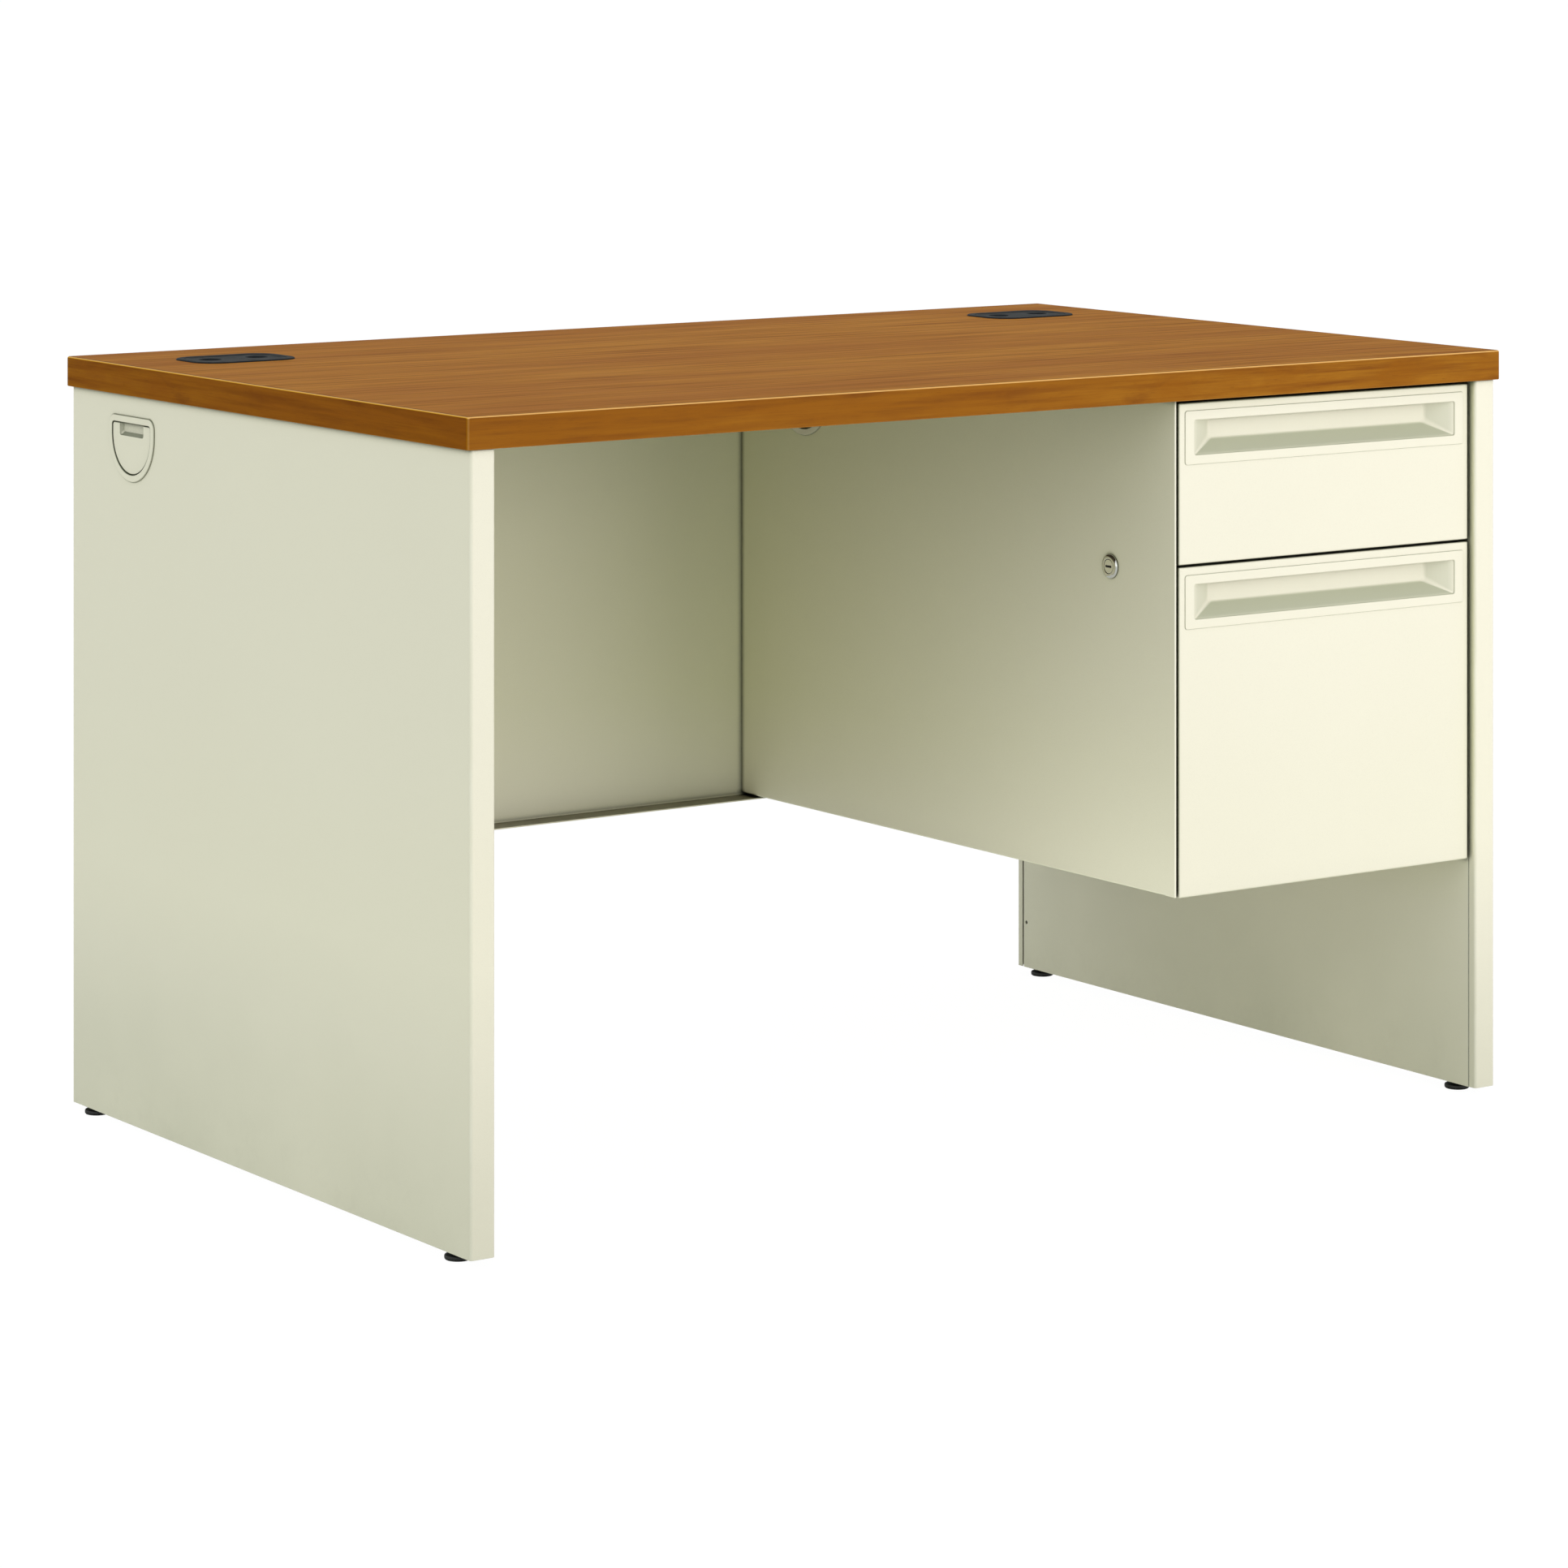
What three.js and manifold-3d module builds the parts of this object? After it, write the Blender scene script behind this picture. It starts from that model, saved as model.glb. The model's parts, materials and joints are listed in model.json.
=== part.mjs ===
// A single-pedestal teacher's desk: laminate worktop on two hollow steel end panels, a modesty panel,
// and a hanging steel pedestal with a box drawer, a file drawer and a lock that holds both.
// Millimetres, +X to the sitter's right, +Y towards the back, +Z up. The origin is on the floor,
// under the centre of the worktop.

import * as THREE from "three";
import { mergeVertices } from "three/addons/utils/BufferGeometryUtils.js";
import Module from "manifold-3d";

const wasm = await Module();
wasm.setup();

// ---------------------------------------------------------------- driving dimensions

const DESK_WIDTH = 1219.2;
const DESK_DEPTH = 762;
const DESK_HEIGHT = 749.3;
const SHEET = 1.2; // steel sheet
const GAP = 0.3; // clearance between neighbouring pieces
const HAIRLINE = 0.1; // clearance between pieces that bear on each other
const OVERRUN = 5; // how far a cutting tool runs past the face it cuts
const WELD = 0.5; // how far two solids run into each other before they are joined
const BEND_STEPS = 2; // facets in a sheet's bend and in a small corner
const CORNER_STEPS = 4; // facets in a grommet's corner
const HALF_ROUND_STEPS = 14; // facets in the half round of a cable opening

const TOP_THICKNESS = 29.6;
const LAMINATE = 1;
const BACKING = 0.8;
const EDGE_BAND = 3;
const UNDERSIDE = DESK_HEIGHT - TOP_THICKNESS;

const GROMMET_X = 488; // each side of the centre line
const GROMMET_Y = 255;
const GROMMET_WIDTH = 111;
const GROMMET_DEPTH = 79;
const GROMMET_CORNER = 26;
const GROMMET_FLANGE = 6; // how far the flange covers the worktop round the hole
const GROMMET_RISE = 1.4; // how far it stands above the worktop
const SLEEVE_WALL = 1.8;
const SLEEVE_END = 2; // the sleeve stops this far above the worktop's underside
const CAP_THICKNESS = 3.5;
const CAP_STEP = 0.3; // the cap's face below the flange's
const CORD_PORT_RADIUS = 11;
const CORD_PORT_X = 26; // each side of the grommet's centre
const CORD_PORT_Y = 4; // behind the grommet's centre

const END_THICKNESS = 25.7;
const END_SIDE_INSET = 5.2; // worktop overhang past the outer face
const END_FRONT_INSET = 3.4; // worktop overhang past the front and rear edges
const END_LIP = 9.2; // the outer skin's return on the inner face
const END_SEAM = 1.3; // groove between the return and the inner skin
const END_BEND = 3;
const END_OUTER_X = DESK_WIDTH / 2 - END_SIDE_INSET;
const END_INNER_X = END_OUTER_X - END_THICKNESS;
const END_HALF_DEPTH = DESK_DEPTH / 2 - END_FRONT_INSET;
const PANEL_BOTTOM = 8.1; // the glides lift the panels this far
const PANEL_TOP = UNDERSIDE - GAP;
const INNER_FLANGE = 8; // the inner skin's bent edges
const CHANNEL_HEIGHT = 22;
const CHANNEL_WALL = 1.6;
const CHANNEL_BEND = 2.4;
const CHANNEL_SETBACK = 0.8; // the channels' distance inside the panel's top and bottom edges
const SCREW_HOLE_RADIUS = 2;
const SCREW_HOLE_Y = 361.3;
const SCREW_HOLE_Z = 58.4;

const GLIDE_RADIUS = 12.5;
const GLIDE_FRONT_Y = -336;
const GLIDE_REAR_Y = 349;
const GLIDE_HEIGHT = 7.4;
const STUD_RADIUS = 4;
const STUD_LENGTH = 40;
const STUD_CLEARANCE = 0.4;

const CABLE_Y = 252; // centre of every D-shaped cable opening
const CABLE_TOP = 692.4; // flat upper edge of the cable door
const CABLE_WIDTH = 79;
const CABLE_STRAIGHT = 11; // straight sides above the half round
const CABLE_CORNER = 4;
const CABLE_RIM = 7;
const CABLE_RIM_RISE = 1.5;
const CABLE_WALL = 1.6;
const DOOR_GAP = 0.9;
const DOOR_THICKNESS = 3.6;
const DOOR_PROUD = 0.6; // the door's face beyond the end panel's
const DOOR_POCKET_WIDTH = 48;
const DOOR_POCKET_HEIGHT = 11;
const DOOR_POCKET_DROP = 1.6;
const DOOR_POCKET_FLOOR = 1.2;
const DOOR_PIN_RADIUS = 1.3;
const DOOR_PIN_DROP = 5; // hinge axis below the cable opening's flat edge
const DOOR_PIN_REACH = 0.9; // the pin's end beyond the cable opening's side
const DOOR_SOCKET_CLEARANCE = 0.4;

const MODESTY_FACE_Y = 368.5;
const MODESTY_FLANGE_Z = 237.3; // upper face of its bottom flange
const MODESTY_BOTTOM_FLANGE = 28;
const MODESTY_TOP_FLANGE = 14;
const MODESTY_BEND = 3;

const DRAWER_FACE_Y = -369.6;
const DRAWER_LEFT = 202.1;
const DRAWER_RIGHT = 576.4;
const DRAWER_FRONT_DEPTH = 17;
const BOX_FRONT_BOTTOM = 559.9;
const BOX_FRONT_TOP = 716.7;
const FILE_FRONT_BOTTOM = 238.4;
const FILE_FRONT_TOP = 557.6;

const PULL_WIDTH = 360;
const PULL_HEIGHT = 52.2;
const PULL_DROP = 8; // below the drawer front's top edge
const PULL_RISE = 0.8; // how far the pull's plate stands off the drawer's face
const PULL_FRAME_X = 12; // frame round the scoop, at the sides
const PULL_FRAME_Z = 9.4; // frame above and below the scoop
const SCOOP_DEPTH = 14.5;
const SCOOP_SIDE_SLOPE = 28;
const SCOOP_FLOOR_SLOPE = 13.6;
const PULL_WALL = 1.5;

const PED_LEFT = 196.7;
const PED_RIGHT = END_INNER_X - 0.5;
const PED_BOTTOM = 239.5;
const PED_FLANGE = 14;
const PED_HEM_DEPTH = 14;
const PED_BACK_Y = 196;
const PED_BACK_FLANGE = 12;
const PED_BEND = 2;
const RAIL_Y = -350; // front face of the pedestal's cross rails
const RAIL_DEPTH = 18;
const TOP_RAIL_DROP = 17;
const MID_RAIL_HEIGHT = 12;

const SLIDE_HEIGHT = 45;
const SLIDE_THICKNESS = 12.7;
const SLIDE_FRONT_Y = -342;
const SLIDE_LENGTH = 520;
const SLIDE_STANDOFF = 4.4; // room for the lock bar behind the left-hand slides
const SLIDE_SHEET = 1.3;
const BODY_SHEET = 1;
const BODY_FRONT_Y = DRAWER_FACE_Y + DRAWER_FRONT_DEPTH + GAP;
const BODY_BACK_Y = 180;
const BODY_RIGHT = PED_RIGHT - SHEET - GAP - SLIDE_THICKNESS - GAP;
const BODY_LEFT = PED_LEFT + SHEET + GAP + SLIDE_STANDOFF + SLIDE_THICKNESS + GAP;
const BOX_BODY_BOTTOM = 572;
const BOX_BODY_TOP = 682;
const BOX_SLIDE_Z = 615;
const FILE_BODY_BOTTOM = 250;
const FILE_BODY_TOP = 500;
const FILE_SLIDE_Z = 398;
const HANGING_RAIL_SPACING = 305;
const HANGING_RAIL_FOOT = 5;
const HANGING_RAIL_SHEET = 2;

const TRAY_WALL = 1.6;
const TRAY_DEPTH = 110;
const TRAY_HEIGHT = 24;
const TRAY_DROP = 6; // the tray's rim below the drawer's
const TRAY_ROWS = [36, 72]; // the cross walls of its left-hand part
const TRAY_SPLIT = 0.68; // the left-hand part's share of the width
const DIVIDER_THICKNESS = 1.2;
const DIVIDER_BACK = 150; // in front of the drawer's rear wall
const DIVIDER_DROP = 36; // below the drawer's rim

const LOCK_Y = -270.5;
const LOCK_Z = 549.6;
const LOCK_BEZEL_RADIUS = 12;
const LOCK_BARREL_RADIUS = 9;
const LOCK_PLUG_RADIUS = 7;
const LOCK_BEZEL_RISE = 3.2;
const LOCK_PLUG_RISE = 3;
const LOCK_NECK_RADIUS = 3;
const LOCK_TURN_CLEARANCE = 0.2;
const LOCK_NUT_THICKNESS = 1.7;
const KEY_SLOT = [7.2, 1.4]; // height and width
const LOCK_ARM = 16; // cam pin's distance from the plug's axis
const LOCK_PIN_RADIUS = 2;
const LOCK_PIN_PLAY = 0.9; // the slot's extra height each side of the pin
const LOCK_CAM_HALF = 5; // half the cam's width
const LOCK_CAM_THICKNESS = 1.6;
const LOCK_BAR_WIDTH = 14;
const LOCK_BAR_X = 3.9; // its left face, from the pedestal side's outer face
const LOCK_BAR_THICKNESS = 1.2;
const LOCK_BAR_BOTTOM = 436;
const LOCK_BAR_TOP = 692;
const BOX_LUG_Z = 662;
const FILE_LUG_Z = 445;
const LUG_HEIGHT = 16;
const LUG_THICKNESS = 2;
const LUG_REACH = 17; // its right edge, from the pedestal side's outer face
const CATCH_REACH = 8;
const CATCH_DROP = 20; // the catch's lower edge below the raised lug

// ---------------------------------------------------------------- materials

const finish = (color, roughness, metalness) => () => {
  return new THREE.MeshStandardMaterial({ color, roughness, metalness });
};
const woodLaminate = finish(0x9e6a33, 0.45, 0);
const chipboard = finish(0xb6935f, 0.9, 0);
const puttyPaint = finish(0xe3e0cc, 0.5, 0.1);
const blackPlastic = finish(0x1d2023, 0.5, 0);
const puttyPlastic = finish(0xdedbc6, 0.5, 0);
const chrome = finish(0xc9c8c4, 0.15, 1);
const zincSteel = finish(0xa8abad, 0.35, 0.9);
const greyPlastic = finish(0x55585a, 0.6, 0);

// ---------------------------------------------------------------- geometry helpers

function box(low, high) {
  const size = high.map((value, axis) => value - low[axis]);
  const middle = high.map((value, axis) => (value + low[axis]) / 2);
  return new THREE.BoxGeometry(...size).translate(...middle);
}

function shapeFrom(points) {
  return new THREE.Shape(points.map(([u, v]) => new THREE.Vector2(u, v)));
}

// Extrusions along each axis. The outline is (x, y), (x, z) or (y, z).
function alongZ(shape, low, high) {
  const options = { depth: high - low, bevelEnabled: false };
  return new THREE.ExtrudeGeometry(shape, options).translate(0, 0, low);
}

function alongY(shape, low, high) {
  const options = { depth: high - low, bevelEnabled: false };
  return new THREE.ExtrudeGeometry(shape, options).rotateX(Math.PI / 2).translate(0, high, 0);
}

function alongX(shape, low, high) {
  const options = { depth: high - low, bevelEnabled: false };
  const turn = new THREE.Matrix4().makeBasis(
    new THREE.Vector3(0, 1, 0),
    new THREE.Vector3(0, 0, 1),
    new THREE.Vector3(1, 0, 0),
  );
  return new THREE.ExtrudeGeometry(shape, options).applyMatrix4(turn).translate(low, 0, 0);
}

// A round bar along X, centred on (y, z).
function barX(radius, low, high, y, z, sides = 24) {
  const bar = new THREE.CylinderGeometry(radius, radius, high - low, sides).rotateZ(Math.PI / 2);
  return bar.translate((low + high) / 2, y, z);
}

// A turned piece about Z from a profile of [radius, z] that starts and ends on the axis.
function turned(profile, segments = 20) {
  const points = profile.map(([radius, z]) => new THREE.Vector2(radius, z));
  return new THREE.LatheGeometry(points, segments).rotateX(Math.PI / 2);
}

function solid(geometry) {
  const bare = geometry.clone();
  bare.deleteAttribute("normal");
  bare.deleteAttribute("uv");
  const merged = mergeVertices(bare, 1e-3);
  const mesh = new wasm.Mesh({
    numProp: 3,
    vertProperties: new Float32Array(merged.attributes.position.array),
    triVerts: new Uint32Array(merged.index.array),
  });
  return new wasm.Manifold(mesh);
}

function geometryOf(manifold) {
  const mesh = manifold.getMesh();
  const geometry = new THREE.BufferGeometry();
  geometry.setAttribute("position", new THREE.BufferAttribute(new Float32Array(mesh.vertProperties), 3));
  geometry.setIndex(new THREE.BufferAttribute(new Uint32Array(mesh.triVerts), 1));
  const faceted = geometry.toNonIndexed();
  faceted.computeVertexNormals();
  return faceted;
}

function joined(...geometries) {
  const sum = geometries.map(solid).reduce((total, next) => total.add(next));
  return geometryOf(sum);
}

function cut(geometry, ...tools) {
  const rest = tools.map(solid).reduce((left, tool) => left.subtract(tool), solid(geometry));
  return geometryOf(rest);
}

// The same piece for the other side of the desk.
function mirroredX(geometry) {
  const flat = geometry.index ? geometry.toNonIndexed() : geometry.clone();
  const place = flat.attributes.position;
  for (let i = 0; i < place.count; i += 3) {
    const first = new THREE.Vector3().fromBufferAttribute(place, i);
    const second = new THREE.Vector3().fromBufferAttribute(place, i + 1);
    const third = new THREE.Vector3().fromBufferAttribute(place, i + 2);
    place.setXYZ(i, -first.x, first.y, first.z);
    place.setXYZ(i + 1, -third.x, third.y, third.z);
    place.setXYZ(i + 2, -second.x, second.y, second.z);
  }
  flat.deleteAttribute("uv");
  flat.computeVertexNormals();
  return flat;
}

// Outline of a folded sheet. The path runs along one face, with the steel on its left, and every
// corner is bent to the given outer radius.
function foldedSheet(path, thickness, bend) {
  const near = [];
  const far = [];
  const add = (point, normal) => {
    near.push([point.x, point.y]);
    far.push([point.x + thickness * normal.x, point.y + thickness * normal.y]);
  };
  const points = path.map(([u, v]) => new THREE.Vector2(u, v));
  const leftOf = (from, to) => {
    const along = to.clone().sub(from).normalize();
    return new THREE.Vector2(-along.y, along.x);
  };
  add(points[0], leftOf(points[0], points[1]));
  for (let i = 1; i < points.length - 1; i += 1) {
    const before = leftOf(points[i - 1], points[i]);
    const after = leftOf(points[i], points[i + 1]);
    const side = before.x * after.y - before.y * after.x > 0 ? 1 : -1;
    const radius = side > 0 ? bend : bend - thickness;
    const reach = (side * radius) / (1 + before.dot(after));
    const centre = before.clone().add(after).multiplyScalar(reach).add(points[i]);
    for (let step = 0; step <= BEND_STEPS; step += 1) {
      const normal = before.clone().lerp(after, step / BEND_STEPS).normalize();
      add(centre.clone().addScaledVector(normal, -side * radius), normal);
    }
  }
  const last = points.length - 1;
  add(points[last], leftOf(points[last - 1], points[last]));
  return shapeFrom([...near, ...far.reverse()]);
}

function arcPoints(centreU, centreV, radius, from, to, steps) {
  return Array.from({ length: steps + 1 }, (_, step) => {
    const angle = from + ((to - from) * step) / steps;
    return [centreU + radius * Math.cos(angle), centreV + radius * Math.sin(angle)];
  });
}

function roundedRectangle(width, depth, corner, centreX = 0, centreY = 0) {
  const quarter = Math.PI / 2;
  const points = [[1, -1], [1, 1], [-1, 1], [-1, -1]].flatMap(([signX, signY], index) => {
    const x = centreX + signX * (width / 2 - corner);
    const y = centreY + signY * (depth / 2 - corner);
    return arcPoints(x, y, corner, (index - 1) * quarter, index * quarter, CORNER_STEPS);
  });
  return shapeFrom(points);
}

// The D of the cable openings in (y, z), flat edge up, grown by a margin all round.
function deeOutline(margin) {
  const radius = CABLE_WIDTH / 2 + margin;
  const top = CABLE_TOP + margin;
  const arcZ = CABLE_TOP - CABLE_STRAIGHT;
  const corner = CABLE_CORNER + margin;
  const quarter = Math.PI / 2;
  return shapeFrom([
    ...arcPoints(CABLE_Y, arcZ, radius, 2 * quarter, 4 * quarter, HALF_ROUND_STEPS),
    ...arcPoints(CABLE_Y + radius - corner, top - corner, corner, 0, quarter, BEND_STEPS),
    ...arcPoints(CABLE_Y - radius + corner, top - corner, corner, quarter, 2 * quarter, BEND_STEPS),
  ]);
}

function part(name, geometry, material) {
  const mesh = new THREE.Mesh(geometry, material());
  mesh.name = name;
  return mesh;
}

function group(...children) {
  const holder = new THREE.Group();
  holder.add(...children);
  return holder;
}

// ---------------------------------------------------------------- worktop and its grommets

// A grommet's outline in (x, y), drawn in from the flange's edge.
function grommetOutline(inset, x = 0, y = 0) {
  const width = GROMMET_WIDTH - 2 * inset;
  const depth = GROMMET_DEPTH - 2 * inset;
  return roundedRectangle(width, depth, GROMMET_CORNER - inset, x, y);
}

function worktopSheet(low, high, holeInset) {
  const x = DESK_WIDTH / 2 - EDGE_BAND - GAP / 2;
  const y = DESK_DEPTH / 2 - EDGE_BAND - GAP / 2;
  const holes = [-GROMMET_X, GROMMET_X].map((centre) => {
    return alongZ(grommetOutline(holeInset, centre, GROMMET_Y), low - OVERRUN, high + OVERRUN);
  });
  return cut(box([-x, -y, low], [x, y, high]), ...holes);
}

function edgeBand() {
  const x = DESK_WIDTH / 2;
  const y = DESK_DEPTH / 2;
  const inner = [x - EDGE_BAND, y - EDGE_BAND];
  const band = box([-x, -y, 0], [x, y, TOP_THICKNESS]);
  const middle = box([-inner[0], -inner[1], -OVERRUN], [inner[0], inner[1], TOP_THICKNESS + OVERRUN]);
  return cut(band, middle);
}

// The laminate stops at the grommets' flanges, which bear on the core.
function worktop() {
  const coreTop = TOP_THICKNESS - LAMINATE - HAIRLINE;
  const top = group(
    part("worktop_backing_sheet", worktopSheet(0, BACKING, GROMMET_FLANGE), chipboard),
    part("worktop_core", worktopSheet(BACKING + HAIRLINE, coreTop, GROMMET_FLANGE), chipboard),
    part("worktop_laminate", worktopSheet(coreTop + HAIRLINE, TOP_THICKNESS, -GAP), woodLaminate),
    part("worktop_edge_band", edgeBand(), woodLaminate),
  );
  top.position.z = UNDERSIDE;
  return top;
}

function grommetSleeve() {
  const tubeInset = GROMMET_FLANGE + GAP;
  const flange = alongZ(grommetOutline(0), -LAMINATE, GROMMET_RISE);
  const tube = alongZ(grommetOutline(tubeInset), SLEEVE_END - TOP_THICKNESS, 0);
  const bore = alongZ(grommetOutline(tubeInset + SLEEVE_WALL), -TOP_THICKNESS, GROMMET_RISE + OVERRUN);
  return cut(joined(flange, tube), bore);
}

function grommetCap() {
  const inset = GROMMET_FLANGE + SLEEVE_WALL + 2 * GAP;
  const top = GROMMET_RISE - CAP_STEP;
  const plate = alongZ(grommetOutline(inset), top - CAP_THICKNESS, top);
  const ports = [-CORD_PORT_X, CORD_PORT_X].map((x) => {
    const port = new THREE.CylinderGeometry(CORD_PORT_RADIUS, CORD_PORT_RADIUS, 4 * CAP_THICKNESS, 24);
    return port.rotateX(Math.PI / 2).translate(x, CORD_PORT_Y, 0);
  });
  return cut(plate, ...ports);
}

function grommet(side, x) {
  const both = group(
    part(`grommet_sleeve_${side}`, grommetSleeve(), blackPlastic),
    part(`grommet_cap_${side}`, grommetCap(), blackPlastic),
  );
  both.position.set(x, GROMMET_Y, DESK_HEIGHT);
  return both;
}

// ---------------------------------------------------------------- end panels
// Drawn for the right-hand side, in a frame whose X = 0 is the panel's outer face.

function endOuterSkin() {
  const y = END_HALF_DEPTH;
  const inner = -END_THICKNESS;
  const path = [
    [inner, -y + END_LIP],
    [inner, -y],
    [0, -y],
    [0, y],
    [inner, y],
    [inner, y - END_LIP],
  ];
  const skin = alongZ(foldedSheet(path, SHEET, END_BEND), PANEL_BOTTOM, PANEL_TOP);
  return cut(skin, cableHole(0));
}

// A tool that cuts the cable opening through a sheet whose face is at the given x.
function cableHole(x) {
  return alongX(deeOutline(CABLE_WALL + GAP), x - OVERRUN, x + OVERRUN);
}

function endInnerSkin() {
  const y = END_HALF_DEPTH - END_LIP - END_SEAM;
  const face = -END_THICKNESS;
  const path = [
    [face + INNER_FLANGE, y],
    [face, y],
    [face, -y],
    [face + INNER_FLANGE, -y],
  ];
  const skin = alongZ(foldedSheet(path, SHEET, END_BEND), PANEL_BOTTOM, PANEL_TOP);
  const screwHole = barX(SCREW_HOLE_RADIUS, face - OVERRUN, face + OVERRUN, SCREW_HOLE_Y, SCREW_HOLE_Z, 12);
  return cut(skin, cableHole(face), screwHole);
}

// A channel between the two skins, along the panel's top or bottom edge.
function endChannel(low, opensUp) {
  const high = low + CHANNEL_HEIGHT;
  const outer = -SHEET - GAP;
  const inner = -END_THICKNESS + SHEET + GAP;
  const y = END_HALF_DEPTH - END_LIP - END_SEAM - SHEET - INNER_FLANGE;
  const profile = opensUp
    ? [[inner, high], [inner, low], [outer, low], [outer, high]]
    : [[outer, low], [outer, high], [inner, high], [inner, low]];
  return alongY(foldedSheet(profile, CHANNEL_WALL, CHANNEL_BEND), -y, y);
}

function endTopChannel() {
  return endChannel(PANEL_TOP - CHANNEL_SETBACK - CHANNEL_HEIGHT, false);
}

function endBottomChannel() {
  const low = PANEL_BOTTOM + CHANNEL_SETBACK;
  const holes = [GLIDE_FRONT_Y, GLIDE_REAR_Y].map((y) => {
    const radius = STUD_RADIUS + STUD_CLEARANCE;
    const hole = new THREE.CylinderGeometry(radius, radius, 2 * OVERRUN, 16);
    return hole.rotateX(Math.PI / 2).translate(-END_THICKNESS / 2, y, low);
  });
  return cut(endChannel(low, true), ...holes);
}

function glide() {
  const profile = [
    [0, 0],
    [GLIDE_RADIUS - 1.2, 0],
    [GLIDE_RADIUS, 1.2],
    [GLIDE_RADIUS, 4],
    [GLIDE_RADIUS - 4, 5.6],
    [STUD_RADIUS + 1.5, GLIDE_HEIGHT],
    [STUD_RADIUS, GLIDE_HEIGHT],
    [STUD_RADIUS, GLIDE_HEIGHT + STUD_LENGTH],
    [0, GLIDE_HEIGHT + STUD_LENGTH],
  ];
  return turned(profile);
}

function cableBezel() {
  const rim = alongX(deeOutline(CABLE_RIM), HAIRLINE, CABLE_RIM_RISE);
  const tube = alongX(deeOutline(CABLE_WALL), -END_THICKNESS, WELD);
  const bore = alongX(deeOutline(0), -END_THICKNESS - OVERRUN, CABLE_RIM_RISE + OVERRUN);
  const sockets = doorPin(DOOR_PIN_REACH + DOOR_SOCKET_CLEARANCE, DOOR_PIN_RADIUS + DOOR_SOCKET_CLEARANCE);
  return cut(joined(rim, tube), bore, sockets);
}

// A bar along the hinge's axis that ends the given distance beyond the cable opening's sides.
function doorPin(beyond, radius) {
  const pin = new THREE.CylinderGeometry(radius, radius, CABLE_WIDTH + 2 * beyond, 12);
  return pin.translate(-DOOR_THICKNESS / 2, CABLE_Y, CABLE_TOP - DOOR_PIN_DROP);
}

// The hinge pin shows only at the door's sides. The pocket's floor is clear of it.
function cableDoor() {
  const plate = alongX(deeOutline(-DOOR_GAP), -DOOR_THICKNESS, DOOR_PROUD);
  const pocketTop = CABLE_TOP - DOOR_POCKET_DROP;
  const pocket = box(
    [DOOR_POCKET_FLOOR - DOOR_THICKNESS, CABLE_Y - DOOR_POCKET_WIDTH / 2, pocketTop - DOOR_POCKET_HEIGHT],
    [DOOR_PROUD + OVERRUN, CABLE_Y + DOOR_POCKET_WIDTH / 2, CABLE_TOP + OVERRUN],
  );
  return cut(joined(plate, doorPin(DOOR_PIN_REACH, DOOR_PIN_RADIUS)), pocket);
}

function endPanel(side) {
  const hand = side === "right" ? (geometry) => geometry : mirroredX;
  const sign = side === "right" ? 1 : -1;
  const panel = group(
    part(`${side}_end_outer_skin`, hand(endOuterSkin()), puttyPaint),
    part(`${side}_end_inner_skin`, hand(endInnerSkin()), puttyPaint),
    part(`${side}_end_top_channel`, hand(endTopChannel()), zincSteel),
    part(`${side}_end_bottom_channel`, hand(endBottomChannel()), zincSteel),
    part(`cable_bezel_${side}`, hand(cableBezel()), puttyPlastic),
    part(`cable_door_${side}`, hand(cableDoor()), puttyPlastic),
  );
  for (const [end, y] of [["front", GLIDE_FRONT_Y], ["rear", GLIDE_REAR_Y]]) {
    const foot = part(`levelling_glide_${side}_${end}`, glide(), blackPlastic);
    foot.position.set((-sign * END_THICKNESS) / 2, y, 0);
    panel.add(foot);
  }
  panel.position.x = sign * END_OUTER_X;
  return panel;
}

// ---------------------------------------------------------------- modesty panel

// One sheet with flanges at its top and bottom that point at the sitter. The top flange is notched
// away over the pedestal.
function modestyPanel() {
  const high = PANEL_TOP - SHEET;
  const path = [
    [-MODESTY_TOP_FLANGE, high],
    [0, high],
    [0, MODESTY_FLANGE_Z],
    [-MODESTY_BOTTOM_FLANGE, MODESTY_FLANGE_Z],
  ];
  const half = END_INNER_X - GAP;
  const sheet = alongX(foldedSheet(path, SHEET, MODESTY_BEND), -half, half);
  const notch = box(
    [PED_LEFT - 1, -MODESTY_TOP_FLANGE - OVERRUN, high - MODESTY_BEND],
    [half + OVERRUN, 0, PANEL_TOP + OVERRUN],
  );
  const panel = part("modesty_panel", cut(sheet, notch), puttyPaint);
  panel.position.y = MODESTY_FACE_Y;
  return panel;
}

// ---------------------------------------------------------------- pedestal shell

// One side panel, drawn as a C that opens towards +X from x = 0, in the desk's own Y and Z.
function pedestalSide(frontY) {
  const back = MODESTY_FACE_Y - GAP;
  const path = [
    [PED_FLANGE, PANEL_TOP],
    [0, PANEL_TOP],
    [0, PED_BOTTOM],
    [PED_FLANGE, PED_BOTTOM],
  ];
  const channel = alongY(foldedSheet(path, SHEET, PED_BEND), frontY, back);
  const frontFlanges = box(
    [SHEET, frontY - OVERRUN, PED_BOTTOM - OVERRUN],
    [PED_FLANGE + OVERRUN, RAIL_Y + 3, PANEL_TOP + OVERRUN],
  );
  return cut(channel, frontFlanges, cableHole(0));
}

// Two pairs of small guides keep the lock bar upright.
function lockBarGuides() {
  const half = 1.5;
  const reach = (LOCK_BAR_WIDTH + 1) / 2 + half;
  const heights = [LOCK_BAR_BOTTOM + 70, LOCK_BAR_TOP - 60];
  return heights.flatMap((z) => [-reach, reach].map((offset) => {
    const y = lockBarCentreY() + offset;
    return box([SHEET / 2, y - half, z - 4 * half], [LOCK_BAR_X + WELD, y + half, z + 4 * half]);
  }));
}

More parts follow.
